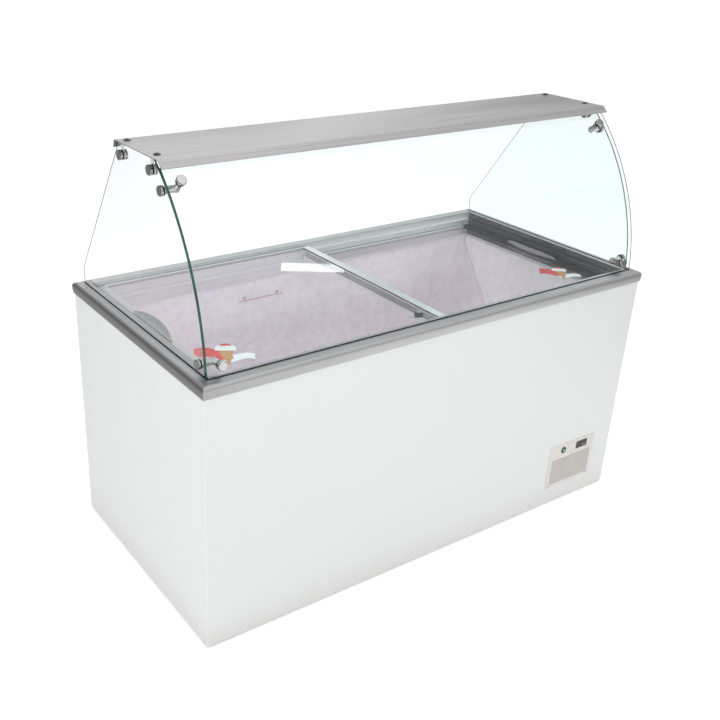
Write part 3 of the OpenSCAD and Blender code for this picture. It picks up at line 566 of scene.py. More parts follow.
def rim_outline(slotted):
    """Section of the rim, nose outward; u from the shell's face, z from the seat."""
    sheet = 2 * MM
    nose_r = 12 * MM
    nose_u = nose_r - OVER
    face = 22 * MM
    slot = 4 * MM
    pocket = slot + sheet
    swell = [(1.9, 0.0), (1.15, 3.5), (0.6, 7.5), (0.22, 12.0), (0.05, 17.0)]
    pts = [(u * MM - OVER, z * MM) for u, z in swell]
    pts += arc(nose_u, face, nose_r, 180, 80.5, 16) + [(GLASS_U - slot, RIM_TOP)]
    if slotted:
        pts += [(GLASS_U - slot, face), (GLASS_U + slot, face), (GLASS_U + slot, RIM_TOP)]
    pts += [(LIP_U, RIM_TOP), (LIP_U, RIM_TOP - sheet), (GLASS_U + pocket, RIM_TOP - sheet),
            (GLASS_U + pocket, face - sheet), (GLASS_U - pocket, face - sheet),
            (GLASS_U - pocket, RIM_TOP - sheet - 0.4 * MM)]
    return pts + arc(nose_u, face, nose_r - sheet, 78.5, 180, 12) + [(sheet - OVER, 0)]


def make_rims(mats):
    for side in ("front", "rear", "left", "right"):
        bm = bmesh.new()
        mitred(bm, rim_outline(side != "rear"), side)
        mat = mats["rim_x"] if side in ("front", "rear") else mats["rim_y"]
        obj = finish_mesh("rim_profile_" + side, bm, mat, "cabinet", 30, 0.35 * MM)
        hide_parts("rim_" + side)


def groove(u, top, height):
    """Four points of a shallow groove in an upright riser at u."""
    deep, slope = 0.7 * MM, 0.4 * MM
    low_z = top - height
    return [(u, top), (u - deep, top - slope), (u - deep, low_z + slope), (u, low_z)]


def track_outline():
    """Section of the stepped lid track, with fine grooves rolled into its risers."""
    sheet = 2 * MM
    pts = [(LIP_U - sheet, TRACK_TOP), (LIP_U, TRACK_TOP)]
    for top in (31 * MM, 25.5 * MM):
        pts += groove(LIP_U, top, 2 * MM)
    pts += [(LIP_U, UPPER_LEDGE), (STEP_U, UPPER_LEDGE)]
    for top in (9 * MM, 1.4 * MM):
        pts += groove(STEP_U, top, 2.4 * MM)
    pts += [(STEP_U, LOWER_LEDGE), (TRACK_IN, LOWER_LEDGE), (TRACK_IN, COLLAR_Z)]
    inside = ((TRACK_IN, LOWER_LEDGE), (STEP_U, LOWER_LEDGE), (STEP_U, UPPER_LEDGE),
              (LIP_U, UPPER_LEDGE))
    return pts + [(TRACK_IN - sheet, COLLAR_Z)] + [(u - sheet, z - sheet) for u, z in inside]


def make_tracks(mats):
    for side in ("front", "rear", "left", "right"):
        bm = bmesh.new()
        mitred(bm, track_outline(), side, 0)
        # the right track gets the darker copy of the aluminium, as painted shade
        mat = mats[{"left": "track_y", "right": "track_painted_shade"}.get(side, "track_x")]
        obj = finish_mesh("lid_track_" + side, bm, mat, "cabinet", 30, 0.25 * MM)
        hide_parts("track_" + side)


def cut_drain(bm, centre, radius, floor_z):
    """Opens a round hole in the level face at floor_z, inside a square patch cut out around it."""
    def floor_faces():
        return [f for f in bm.faces if all(abs(v.co.z - floor_z) < 1e-4 for v in f.verts)]

    for axis in (Vector((1, 0, 0)), Vector((0, 1, 0))):
        for sign in (-2, 2):
            faces = floor_faces()
            geom = faces + [part for part in (*bm.edges, *bm.verts) if set(part.link_faces) & set(faces)]
            bmesh.ops.bisect_plane(bm, geom=geom, plane_co=centre + axis * sign * radius, plane_no=axis)
    patch = min(floor_faces(), key=lambda f: (f.calc_center_median() - centre).length)
    edges = list(patch.edges)
    bm.faces.remove(patch)
    hole = on_circle(centre.x, centre.y, radius, range(0, 360, 15))
    ring = [bm.verts.new((x, y, floor_z)) for x, y in hole]
    edges += [bm.edges.new((ring[i - 1], ring[i])) for i in range(len(ring))]
    bmesh.ops.triangle_fill(bm, use_beauty=True, edges=edges)


def make_liner(mats):
    """Embossed liner with folded, rounded corners, the step over the machine bay, and the drain."""
    lo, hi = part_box("inner_liner")
    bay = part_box("bay_bulkhead")
    sheet, foam, fold_r, drain_r = 1 * MM, 54 * MM, 5 * MM, 11.3 * MM
    x0, x1 = lo.x + sheet, hi.x - sheet
    y0, y1 = lo.y + sheet, hi.y - sheet
    z0, z1 = lo.z + sheet, hi.z
    step_x, step_z = bay[0].x - foam, bay[1].z + foam
    outline = [(x0, z1), (x0, z0), (step_x, z0), (step_x, step_z), (x1, step_z), (x1, z1)]
    bm = bmesh.new()
    front = [bm.verts.new((x, y0, z)) for x, z in outline]
    back = [bm.verts.new((x, y1, z)) for x, z in outline]
    for i in range(len(outline) - 1):
        bm.faces.new((front[i], front[i + 1], back[i + 1], back[i]))
    bm.faces.new(front[::-1])
    bm.faces.new(back)
    edges = [e for e in bm.edges if len(e.link_faces) == 2]
    bmesh.ops.bevel(bm, geom=edges, offset=fold_r, segments=4, affect="EDGES", profile=0.5)
    drain = (low("drain_plug") + high("drain_plug")) / 2
    cut_drain(bm, Vector((drain.x, drain.y, z0)), drain_r, z0)
    obj = finish_mesh("liner_sheet", bm, mats["liner"], "cabinet", 60)
    solid = obj.modifiers.new("sheet", "SOLIDIFY")
    solid.thickness = 0.8 * MM
    solid.offset = 0
    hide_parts("inner_liner")


def make_load_line(mats):
    """Fill-limit mark on the liner's rear wall: a pale strip with a line and two triangles."""
    y = high("inner_liner").y - 1.9 * MM
    z = SEAT_Z - 109 * MM
    middle, half, half_h, film = -0.234 * HALF_W, 87.5 * MM, 9 * MM, 0.2 * MM
    x0, x1 = middle - half, middle + half
    bm = bmesh.new()
    box(bm, (x0, y - film, z - half_h), (x1, y, z + half_h))
    finish_mesh("load_line_strip", bm, mats["film_white"], "cabinet", 30, 0.05 * MM)
    front = y - 2 * film
    bm = bmesh.new()
    box(bm, (x0 + 4 * MM, front, z - 8 * MM), (x1 - 4 * MM, y - film, z - 5 * MM))
    for x in (x0 + 24 * MM, x1 - 24 * MM):
        tri = [(x - 9 * MM, z + 6.5 * MM), (x + 9 * MM, z + 6.5 * MM), (x, z - 5.5 * MM)]
        loft(bm, [[(px, py, pz) for px, pz in tri] for py in (front, y - film)])
    finish_mesh("load_line_mark", bm, mats["film_red"], "cabinet")


def lip_outline(u, w, h):
    """Section of one soft lip beside a pane; w is its width and h its height over the rim."""
    base = RIM_TOP - 6 * MM
    return [(u - w / 2, base), (u + w / 2, base), (u + w / 2, RIM_TOP + h * 0.4),
            (u + w * 0.25, RIM_TOP + h), (u - w * 0.25, RIM_TOP + h), (u - w / 2, RIM_TOP + h * 0.4)]


def make_pane_lips(mats):
    """Rubber lips on both sides of each canopy pane where it enters the rim."""
    bm = bmesh.new()
    for side in ("front", "left", "right"):
        for sign in (-1, 1):
            mitred(bm, lip_outline(GLASS_U + sign * 3.1 * MM, 1.0 * MM, 0.3 * MM), side)
    finish_mesh("pane_lips", bm, mats["rubber"], "cabinet", 30)


# ------------------------ lids


def make_grip(name, node, mats, body):
    """Bowed finger grip: a lip that rises from a flat foot, leans in, and dies out at its ends."""
    lo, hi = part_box(node)
    flip = 1 if lo.x < 0 else -1
    edge = lo.x if flip > 0 else hi.x
    half = (hi.y - lo.y) / 2 - 1.5 * MM
    tall = hi.z - lo.z - 0.4 * MM
    bow = 20 * MM
    wall = 5 * MM
    rings = []
    count = 48
    for i in range(count + 1):
        t = -1 + 2 * i / count
        y = half * math.sin(t * math.pi / 2)
        s = y / half
        crest = bow * (1 - s * s) + 5.2 * MM
        rise = 3 * MM + (tall - 3 * MM) * max(0.0, 1 - abs(s) ** 3.2) ** 0.8
        thin = wall * (0.45 + 0.55 * max(0.0, 1 - s ** 4))
        ring = [(0.6 * MM, 0), (crest - 0.2 * MM, 0), (crest, 0.7 * MM), (crest, rise * 0.55),
                (crest - 0.3 * MM, rise * 0.86), (crest - 0.9 * MM, rise * 0.97),
                (crest - thin * 0.5, rise), (crest - thin * 0.86, rise * 0.95),
                (crest - thin, rise * 0.82), (crest - thin * 0.9, 3.9 * MM),
                (crest - thin * 1.12, 3.05 * MM), (crest - thin * 1.6, 2.8 * MM),
                (1.2 * MM, 2.7 * MM), (0.6 * MM, 2.0 * MM)]
        rings.append([(edge + flip * max(x, 0.5 * MM), y, lo.z + z) for x, z in ring])
    bm = bmesh.new()
    loft(bm, rings)
    obj = finish_mesh(name, bm, mats["grip"], body, 60)
    sub = obj.modifiers.new("smooth", "SUBSURF")
    sub.levels = sub.render_levels = 1
    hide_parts(node)


def make_pane(name, outline, ends, place, glass, mats, body, chamfer):
    """A flat pane between two ends, from a counter-clockwise outline: green edges, clear faces."""
    inner = inset(outline, chamfer)
    levels = ((ends[0], inner), (ends[0] + chamfer, outline), (ends[1] - chamfer, outline),
              (ends[1], inner))
    bm = bmesh.new()
    for face in loft(bm, [[place(point, at) for point in points] for at, points in levels]):
        face.material_index = 1
    return finish_mesh(name, bm, [mats[glass], mats["edge"]], body, 40)


def inset(pts, by):
    """Moves a counter-clockwise outline inward by a small distance."""
    out = []
    n = len(pts)
    for i in range(n):
        a, b, c = (Vector(pts[k % n]) for k in (i - 1, i, i + 1))
        d1, d2 = (b - a).normalized(), (c - b).normalized()
        n1, n2 = Vector((-d1.y, d1.x)), Vector((-d2.y, d2.x))
        mid = (n1 + n2).normalized()
        out.append(tuple(b + mid * by / max(0.3, mid.dot(n1))))
    return out


def make_lid_glass(node, mats, body):
    """Flat lid pane with green edges; its thickness runs along Z."""
    lo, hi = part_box(node)
    outline = [(lo.x, lo.y), (hi.x, lo.y), (hi.x, hi.y), (lo.x, hi.y)]
    obj = make_pane(node + "_pane", outline, (lo.z, hi.z), lambda point, z: (*point, z), "lid_glass",
                    mats, body, 0.5 * MM)
    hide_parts(node)


def film_piece(name, outline, z, material, body):
    """A thin printed film lying on a pane."""
    bm = bmesh.new()
    loft(bm, [[(x, y, level) for x, y in outline] for level in (z, z + 0.15 * MM)])
    finish_mesh(name, bm, material, body, 60)


def ribbon(length, width, bend, taper):
    """Outline of a waving ribbon along its own x, from 0 to length, with a swallow-tail notch at its far
    end.
    """
    upper, lower = [], []
    steps = 28
    for i in range(steps + 1):
        t = i / steps
        mid = bend * math.sin(2 * math.pi * (t * 0.9 + 0.05))
        half = width / 2 * (1 - taper * t)
        upper.append((length * t, mid + half))
        lower.append((length * t, mid - half))
    return upper + [(length * 0.95, upper[-1][1] - width * 0.3)] + lower[::-1]


def make_sticker(tag, node, centre, angle, scale, mats, body):
    """Generic textless sticker: coral ribbon, white ribbon, and a plain cone with one scoop."""
    turn = Matrix.Rotation(math.radians(angle), 2)
    layers = (("white", "film_white", ribbon(0.088, 0.046, -0.010, 0.35), -0.008, -0.014),
              ("coral", "coral", ribbon(0.098, 0.056, 0.010, 0.10), -0.075, 0.006),
              ("cone", "film_tan", [(-0.020, 0.028), (0.014, -0.062), (0.024, 0.030)], 0, 0),
              ("scoop", "film_white", arc(0.002, 0.036, 0.028, -25, 205, 20), 0, 0),
              ("dip", "coral", arc(0.002, 0.050, 0.017, 10, 170, 14), 0, 0))
    for i, (part, film, points, dx, dy) in enumerate(layers):
        moved = [turn @ Vector(((x + dx) * scale, (y + dy) * scale)) for x, y in points]
        z = high(node).z + (0.02 + 0.16 * i) * MM
        outline = [(centre[0] + v.x, centre[1] + v.y) for v in moved]
        film_piece("sticker_%s_%s" % (part, tag), outline, z, mats[film], body)


def make_lids(mats):
    make_lid_glass("left_lid_glass", mats, "left_lid")
    make_lid_glass("right_lid_glass", mats, "right_lid")
    make_grip("left_grip_moulding", "left_lid_grip", mats, "left_lid")
    make_grip("right_grip_moulding", "right_lid_grip", mats, "right_lid")
    left_corner = low("left_lid_glass")
    right_x = high("right_lid_glass").x
    make_sticker("left", "left_lid_glass", (left_corner.x + 0.092, left_corner.y + 0.100), -30, 1.0,
                 mats, "left_lid")
    make_sticker("right", "right_lid_glass", (right_x - 0.098, low("right_lid_glass").y + 0.128),
                 -42, 0.86, mats, "right_lid")
    paint("left_lid_end_frame", mats["end_light"], 1.2 * MM, 3)
    # the right end frame is painted near black: painted shade from the riser
    paint("right_lid_end_frame", mats["end_painted_shade"], 1.2 * MM, 3)
    for side in ("left", "right"):
        paint(side + "_lid_meeting_bar", mats["bar"], 1.2 * MM, 3)
        paint(side + "_lid_runners", mats["track_x"], 0.5 * MM)


def make_lock(mats):
    """Round lock: stepped bezel ring; the CAD cylinder turns inside it."""
    lo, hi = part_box("lid_lock_body")
    centre = (lo + hi) / 2
    glass = high("left_lid_glass").z
    top = hi.z
    r, bore = (hi.x - lo.x) / 2, 7.05 * MM
    neck, nut, nut_top = r * 0.76, r * 0.92, lo.z + 4 * MM
    profile = [(bore, lo.z), (nut, lo.z), (nut, nut_top), (neck, nut_top + 0.2 * MM),
               (neck, glass), (r, glass + 0.02 * MM), (r, top - 2.2 * MM),
               (r - 0.6 * MM, top - 1.0 * MM), (r - 2.0 * MM, top - 0.1 * MM), (r - 3.2 * MM, top),
               (bore + 1.2 * MM, top - 0.2 * MM), (bore + 0.2 * MM, top - 1.2 * MM),
               (bore, top - 1.8 * MM), (bore, lo.z)]
    bm = bmesh.new()
    lathe(bm, profile, Matrix.Translation((centre.x, centre.y, 0)), 48)
    obj = finish_mesh("lock_bezel", bm, mats["black"], "left_lid", 35)
    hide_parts("lid_lock_body")
    paint("lid_lock_cylinder", mats["clamp"], 0.3 * MM)


# ------------------------ canopy


def on_bend(r, a):
    """Place (y, z) on the canopy's bend at radius r and angle a over the seat."""
    return ARC_Y - r * math.cos(a), ARC_Z + r * math.sin(a)


def make_front_glass(mats):
    """Bent front pane: one continuous arc with ground green edges."""
    lo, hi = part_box("curved_front_glass")
    a0 = math.asin((lo.z - ARC_Z) / ARC_IN)
    a1 = math.asin((hi.z - ARC_Z) / ARC_OUT)
    c = 0.6 * MM
    steps = 72

    def ring(x, chamfer):
        t = chamfer / ARC_IN
        angles = [a0 + t + (a1 - a0 - 2 * t) * i / steps for i in range(steps + 1)]
        pts = [on_bend(ARC_OUT - chamfer, a) for a in angles]
        pts += [on_bend(ARC_IN + chamfer, a) for a in reversed(angles)]
        return [(x, y, z) for y, z in pts]

    bm = bmesh.new()
    loft(bm, [ring(lo.x, c), ring(lo.x + c, 0), ring(hi.x - c, 0), ring(hi.x, c)])
    middle = Vector((ARC_Y, ARC_Z))
    for face in bm.faces:
        f = face.calc_center_median()
        spread = max(v.co.x for v in face.verts) - min(v.co.x for v in face.verts)
        radial = abs((Vector((f.y, f.z)) - middle).length - (ARC_IN + ARC_OUT) / 2)
        face.material_index = 0 if spread > 0.5 and radial > PANE_T * 0.45 else 1
    obj = finish_mesh("front_pane", bm, [mats["canopy_glass"], mats["edge"]], "cabinet",
                      40)
    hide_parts("curved_front_glass")


def side_outline():
    """Counter-clockwise outline (y, z) of an end pane, its bent edge just inside the front pane."""
    lo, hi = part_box("left_side_glass")
    verts = [v.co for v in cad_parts["left_side_glass"].data.vertices]
    r = max(math.hypot(v.y - ARC_Y, v.z - ARC_Z) for v in verts)
    a0, a1 = (math.asin((z - ARC_Z) / r) for z in (lo.z, hi.z))
    steps = 48
    pts = [on_bend(r, a0 + (a1 - a0) * i / steps) for i in range(steps + 1)]
    kink = max(v.z for v in verts if v.y > hi.y - MM)
    shelf_back = [v for v in verts if v.y > 0 and v.z > SHELF_LO.z - 5 * MM]
    upper = max(shelf_back, key=lambda v: v.z * 10 + v.y)
    corner = max((v for v in shelf_back if v.z < upper.z - 5 * MM), key=lambda v: v.y)
    pts += [(upper.y, upper.z), (corner.y, corner.z), (hi.y, kink), (hi.y, lo.z)]
    return pts[::-1]


def make_end_panes(mats):
    for side in ("left", "right"):
        node = side + "_side_glass"
        lo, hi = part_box(node)
        obj = make_pane(side + "_end_pane", side_outline(), (lo.x, hi.x), lambda point, x: (x, *point),
                        "end_glass", mats, "cabinet", 0.6 * MM)
        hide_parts(node)


def make_shelf(mats):
    """Folded steel shelf: flat top, sloping front lip, near-upright rear lip, soft bends."""
    lo, hi = SHELF_LO, SHELF_HI
    sheet, lip_drop = 2 * MM, 17 * MM
    front_r, rear_r = 7.7 * MM, 3 * MM
    outer = [(lo.y, hi.z - lip_drop)]
    outer += on_circle(lo.y + 20.2 * MM, hi.z - front_r, front_r, (135, 120, 105, 90))
    outer += on_circle(hi.y - 8 * MM, hi.z - rear_r, rear_r, (90, 65, 40, 14))
    outer = [(hi.y, lo.z)] + outer[::-1]
    bm = bmesh.new()
    prism_x(bm, outer + inset_open(outer, sheet)[::-1], lo.x, hi.x)
    obj = finish_mesh("shelf_sheet", bm, mats["shelf"], "cabinet", 35, 0.3 * MM)
    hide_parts("top_shelf")


def inset_open(pts, by):
    """An open run of points moved to its left side by a distance."""
    out = []
    for i, (x, y) in enumerate(pts):
        ahead = Vector(pts[min(len(pts) - 1, i + 1)]) - Vector(pts[max(0, i - 1)])
        d = ahead.normalized()
        out.append((x - d.y * by, y + d.x * by))
    return out


def make_bolts(mats):
    """Dome heads with a round socket, each on a thin washer."""
    lo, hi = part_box("shelf_bolts")
    r, washer, dome_h, socket = 9.5 * MM, 0.9 * MM, 3.0 * MM, 3.2 * MM
    floor = 1.6 * MM
    profile = [(0.0, floor), (socket, floor), (socket + 0.2 * MM, washer + dome_h)]
    profile += [(x * 0.94, washer + y * dome_h / r)
                for x, y in on_circle(0, 0, r, (68, 50, 35, 20, 8, 0))]
    profile += [(r, 0.8 * MM), (r, 0.02 * MM), (0.0, 0.02 * MM)]
    bm = bmesh.new()
    for x in (lo.x + r, hi.x - r):
        for y in (lo.y + r, hi.y - r):
            lathe(bm, profile, Matrix.Translation((x, y, SHELF_HI.z)), 36)
    obj = finish_mesh("shelf_bolt_heads", bm, mats["bolt"], "cabinet", 35)
    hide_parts("shelf_bolts")


def disc_profile(r, t):
    """Half-section of a turned clamp disc: rounded rim, shallow groove, slightly dished face."""
    return [(0.0, 0.0), (r - 0.8 * MM, 0.0), (r, 0.7 * MM), (r, t * 0.42), (r - 0.5 * MM, t * 0.46),
            (r - 0.5 * MM, t * 0.54), (r, t * 0.58), (r, t - 1.6 * MM), (r - 0.5 * MM, t - 0.6 * MM),
            (r - 1.5 * MM, t - 0.05 * MM), (r - 2.6 * MM, t), (0.0, t - 0.25 * MM)]


def islands(node):
    """Middle of each separate solid in a CAD node, sorted by place."""
    bm = bmesh.new()
    bm.from_mesh(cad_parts[node].data)
    bmesh.ops.remove_doubles(bm, verts=bm.verts, dist=1e-5)
    seen, middles = set(), []
    for start in bm.verts:
        if start in seen:
            continue
        seen.add(start)
        found = [start]
        for vert in found:  # found grows while it is walked
            fresh = [v for e in vert.link_edges for v in e.verts if v not in seen]
            seen.update(fresh)
            found += dict.fromkeys(fresh)
        middles.append(sum((v.co for v in found), Vector()) / len(found))
    bm.free()
    return sorted(middles, key=lambda p: tuple(round(c, 3) for c in p))


def clamp_places():
    """(origin on the washer, outward axis, stem) of every clamp disc, from the CAD's solids."""
    washer, strap = 1 * MM, 3 * MM
    off = PANE_T / 2 + washer
    mid = (ARC_IN + ARC_OUT) / 2
    bracket_z = low("shelf_brackets").z + 11 * MM
    places = []
    for spot in islands("clamp_discs"):
        sign = 1 if spot.x > 0 else -1
        x = sign * abs(GLASS_X)
        if abs(abs(spot.x) - abs(GLASS_X)) > 20 * MM:
            out = Vector((0, spot.y - ARC_Y, spot.z - ARC_Z)).normalized()
            front = Vector((spot.x, ARC_Y, ARC_Z)) + out * (mid + off)
            places.append((tuple(front), tuple(out), 2 * off))
        elif abs(spot.z - bracket_z) < MM:
            places.append(((x + sign * off, spot.y, bracket_z), (sign, 0, 0), 2 * off + strap))
            places.append(((x - sign * (off + strap), spot.y, bracket_z), (-sign, 0, 0), 0))
        else:
            places.append(((x + sign * off, spot.y, spot.z), (sign, 0, 0), 2 * off))
    return places


def make_clamps(mats):
    """Turned discs on both sides of each pane, with the stems that pass through the glass."""
    disc_r, disc_t, stem_r = 13.5 * MM, 8 * MM, 5 * MM
    bm = bmesh.new()
    for origin, axis, stem in clamp_places():
        place = turned(origin, axis)
        lathe(bm, disc_profile(disc_r, disc_t), place, 44)
        if stem:
            lathe(bm, [(0.0, -stem), (stem_r, -stem), (stem_r, 0.2 * MM), (0.0, 0.2 * MM)], place, 24)
    obj = finish_mesh("clamp_faces", bm, mats["clamp"], "cabinet", 38)
    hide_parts("clamp_discs")
    paint("shelf_brackets", mats["clamp"], 0.5 * MM)
    paint("corner_connectors", mats["clamp"])
    paint("clamp_washers", mats["rubber"])


# ------------------------ controls


def make_controls(mats):
    """Louvred panel with a black sheet of painted shade behind it, round lit switch and temperature
    display.
    """
    paint("control_grille", mats["ivory"], 0.45 * MM, 2, 40)
    paint("grille_screws", mats["clamp"])
    # black sheet behind the louvres: painted shade for the bay behind them
    make_shade_sheet(mats)
    lo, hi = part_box("switch_body")
    centre = (lo + hi) / 2
    ring = [(9.0 * MM, 1.4 * MM), (9.1 * MM, 0.2 * MM), (9.6 * MM, 0.0), (11.0 * MM, 0.05 * MM),
            (11.8 * MM, 0.4 * MM), (12.0 * MM, 0.98 * MM), (9.9 * MM, 1.0 * MM), (9.9 * MM, 12 * MM),
            (9.0 * MM, 12 * MM), (9.0 * MM, 1.4 * MM)]
    bm = bmesh.new()
    lathe(bm, ring, turned((centre.x, lo.y, centre.z), (0, 1, 0)), 48)
    obj = finish_mesh("switch_bezel", bm, mats["switch_dark"], "cabinet", 40)
    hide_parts("switch_body")
    make_rocker(mats, centre)
    make_display(mats)


def make_shade_sheet(mats):
    """Black open-weave sheet behind the louvres: painted shade that stands for the dark bay seen between
    them.
    """
    lo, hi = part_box("control_grille")
    x0, x1 = lo.x + 13 * MM, hi.x - 13 * MM
    z0, z1 = lo.z + 11 * MM, lo.z + 110 * MM
    y = hi.y + 0.2 * MM
    bm = bmesh.new()
    box(bm, (x0, y, z0), (x1, y + 0.8 * MM, z1))
    threads = 24
    for i in range(1, threads):
        x = x0 + (x1 - x0) * i / threads
        box(bm, (x - 0.4 * MM, y - 0.15 * MM, z0), (x + 0.4 * MM, y, z1))
    finish_mesh("louvre_shade_sheet", bm, mats["black"], "cabinet", 30)


def make_rocker(mats, centre):
    """Lit round rocker, slightly dished, with a small pale lamp window."""
    lo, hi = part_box("power_rocker")
    tilt = math.radians(6)
    mid = Vector((centre.x, (lo.y + hi.y) / 2, centre.z))
    place = Matrix.Translation(mid) @ Matrix.Rotation(tilt, 4, "X")
    face = turned((0, 0, 0), (0, -1, 0))
    r = 8.6 * MM
    bm = bmesh.new()
    lathe(bm, [(0.0, -2.5 * MM), (r, -2.5 * MM), (r, 1.8 * MM), (r - 0.7 * MM, 2.5 * MM),
               (0.0, 2.15 * MM)], place @ face, 44)
    lit = finish_mesh("rocker_cap", bm, mats["switch_lit"], "switch_rocker", 35)
    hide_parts("power_rocker")
    bm = bmesh.new()
    spot = place @ face @ Matrix.Translation((0, 0, 2.3 * MM))
    lathe(bm, [(0.0, 0.0), (2.9 * MM, 0.0), (2.6 * MM, 0.35 * MM), (0.0, 0.5 * MM)], spot, 28)
    finish_mesh("rocker_lamp", bm, mats["switch_dot"], "switch_rocker", 40)


def make_display(mats):
    """Smoked window in a thin frame, with three unlit keys low on its right side."""
    lo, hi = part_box("temperature_display")
    paint("temperature_display", mats["display"], 0.8 * MM, 3)
    y = lo.y
    w, lap = 2.4 * MM, 0.4 * MM
    bm = bmesh.new()
    bars = (((lo.x - w, hi.z - lap), (hi.x + w, hi.z + w)),
            ((lo.x - w, lo.z - w), (hi.x + w, lo.z + lap)),
            ((lo.x - w, lo.z), (lo.x + lap, hi.z)),
            ((hi.x - lap, lo.z), (hi.x + w, hi.z)))
    for (ax, az), (bx, bz) in bars:
        box(bm, (ax, y - 0.5 * MM, az), (bx, y + 0.7 * MM, bz))
    finish_mesh("display_frame", bm, mats["black"], "cabinet", 30, 0.3 * MM)
    bm = bmesh.new()
    for i in range(3):
        x = lo.x + (hi.x - lo.x) * (0.62 + 0.13 * i)
        lathe(bm, [(0.0, 0.0), (2.0 * MM, 0.0), (1.8 * MM, 0.5 * MM), (0.0, 0.6 * MM)],
              turned((x, y, lo.z + 4.5 * MM), (0, -1, 0)), 24)
    finish_mesh("display_keys", bm, mats["grey"], "cabinet", 40)


# ------------------------ the rest


def paint_the_rest(mats):
    """Looks of the CAD pieces that need no mesh of their own; rounding is in millimetres."""
    looks = {
        "galvanised": ("base_plate", "bay_bulkhead", "condenser", "fan_shroud"),
        "rubber": ("front_glass_gasket", "side_glass_gaskets", "left_lid_seal", "right_lid_seal",
                   "compressor_grommets"),
        "black": ("drain_plug", "levelling_feet", "relay_box", "cable_gland"),
        "grey": ("drain_fitting", "rim_corner_keys"), "enamel_black": ("compressor", "fan_motor"),
        "enamel": ("rear_vent_grille",), "foam": ("insulation",), "copper": ("evaporator_tube",),
        "white_plastic": ("fan_blade",),
    }
    rounding = {"levelling_feet": 1.0, "rear_vent_grille": 0.5, "cable_gland": 0.8,
                "compressor": 2.0, "relay_box": 1.5, "drain_plug": 0.8}
    for material, nodes in looks.items():
        for node in nodes:
            paint(node, mats[material], rounding.get(node, 0) * MM)


# ------------------------ stage, light and camera


def make_stage():
    """Pale floor, which mirror-like surfaces see fading into shade on both sides."""
    n = Nodes("floor_pale")
    path = n.light_path()
    n.set(Base_Color=n.drift(n.noise(2, 3), 0.90, 0.91), Roughness=0.9, Emission_Color=(1.0, 1.0, 1.0),
          Emission_Strength=n.span(path["Is Diffuse Ray"], FLOOR_GLOW, FLOOR_BOUNCE))
    across = n.span(n.axis("X"), 0.0, 1.0, -2.0, 4.0)
    shade = n.add("ShaderNodeEmission", Strength=1.25)
    fade = n.ramp(across, [(0.0, 0.20), (0.40, 0.95), (0.55, 0.95), (0.80, 0.20)])
    n.link(fade, shade.inputs["Color"])
    mirrored = n.maths("SUBTRACT", path["Is Glossy Ray"], path["Is Transmission Ray"])
    n.surface(n.mix(mirrored, n.bsdf.outputs["BSDF"], shade.outputs["Emission"]))
    bm = bmesh.new()
    far = 120.0
    plan = ((-far, -far), (far, -far), (far, far), (-far, far))
    bm.faces.new([bm.verts.new((x, y, 0)) for x, y in plan])
    mesh = bpy.data.meshes.new("floor")
    bm.to_mesh(mesh)
    bm.free()
    floor = bpy.data.objects.new("floor", mesh)
    mesh.materials.append(n.mat)
    bpy.context.scene.collection.objects.link(floor)


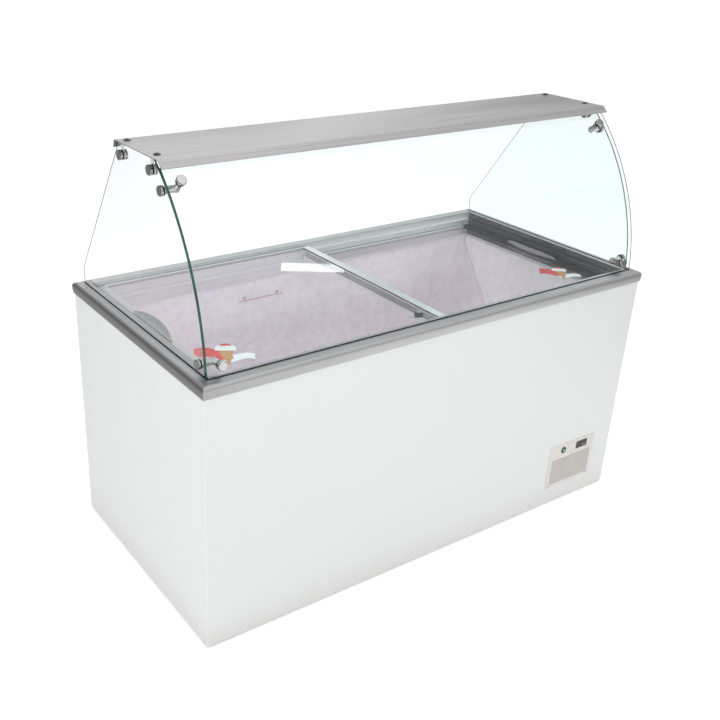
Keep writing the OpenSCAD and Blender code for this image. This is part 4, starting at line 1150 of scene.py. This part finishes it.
def make_world():
    """White surround; mirror-like surfaces see a studio that falls off to a dark left side."""
    world = bpy.data.worlds.new("studio")
    bpy.context.scene.world = world
    world.use_nodes = True
    world.node_tree.nodes.clear()
    t = Tree(world.node_tree, "Generated")
    across = t.maths("MULTIPLY_ADD", t.axis("X"), 0.5, 0.5)
    falloff = t.ramp(across, [(0.0, 0.10), (0.30, 0.22), (0.48, 0.55), (0.66, 1.0), (0.80, 0.95),
                              (0.88, 0.42), (1.0, 0.24)])
    cloud = t.span(t.noise(5.5, 3.0, 0.5, t.stretch((1.0, 1.0, 3.5))), 0.70, 1.08, 0.35, 0.65)
    studio = t.add("ShaderNodeBackground")
    t.link(falloff, studio.inputs["Color"])
    t.link(t.maths("MULTIPLY_ADD", t.axis("Z"), 0.38, cloud), studio.inputs["Strength"])
    soft, white = (t.add("ShaderNodeBackground", Color=(1, 1, 1, 1), Strength=strength)
                   for strength in (WORLD_LIGHT, 1.0))
    path = t.light_path()
    seen = t.maths("MAXIMUM", path["Is Camera Ray"], path["Is Transmission Ray"])
    lit = t.mix(path["Is Glossy Ray"], soft.outputs["Background"], studio.outputs["Background"])
    shown = t.mix(seen, lit, white.outputs["Background"])
    t.link(shown, t.add("ShaderNodeOutputWorld").inputs["Surface"])


def area_light(name, place, target, size, power, seen_in_metal=False):
    light = bpy.data.lights.new(name, "AREA")
    light.shape = "RECTANGLE"
    light.size, light.size_y = size
    light.energy = power
    obj = bpy.data.objects.new(name, light)
    obj.location = place
    obj.rotation_euler = (Vector(target) - Vector(place)).to_track_quat("-Z", "Y").to_euler()
    obj.visible_camera = obj.visible_transmission = False
    obj.visible_glossy = seen_in_metal
    bpy.context.scene.collection.objects.link(obj)


def make_lights():
    aim = (0, 0, 0.7)
    area_light("key_front", (-0.8, -3.6, 2.6), aim, (3.0, 2.0), 26)
    area_light("top_soft", (0.2, 0.2, 3.4), aim, (3.0, 1.8), 34)
    area_light("key_left", (-3.6, -0.8, 2.0), aim, (2.4, 2.0), 33)
    area_light("glare_strip", (1.56, 2.50, 1.83), (-0.05, 0.13, 0.79), (0.40, 0.05), 0.24, True)


def make_camera():
    """Camera to the front left, a little over half a metre above the shelf."""
    data = bpy.data.cameras.new("camera")
    data.lens = 47.55
    data.sensor_width = 36
    data.shift_x, data.shift_y = 0.0786, -0.0016
    data.clip_end = 400
    cam = bpy.data.objects.new("camera", data)
    cam.location = (-1.74875, -2.16378, 1.83222)
    cam.rotation_euler = [math.radians(a) for a in (64.47, -1.71, -34.15)]
    bpy.context.scene.collection.objects.link(cam)
    bpy.context.scene.camera = cam


def main():
    bpy.context.scene.view_settings.view_transform = "Standard"
    mats = make_materials()
    make_camera()
    make_world()
    make_lights()
    make_stage()
    make_shell(mats)
    make_rims(mats)
    make_tracks(mats)
    make_liner(mats)
    make_load_line(mats)
    make_pane_lips(mats)
    make_lids(mats)
    make_lock(mats)
    make_front_glass(mats)
    make_end_panes(mats)
    make_shelf(mats)
    make_bolts(mats)
    make_clamps(mats)
    make_controls(mats)
    paint_the_rest(mats)


main()
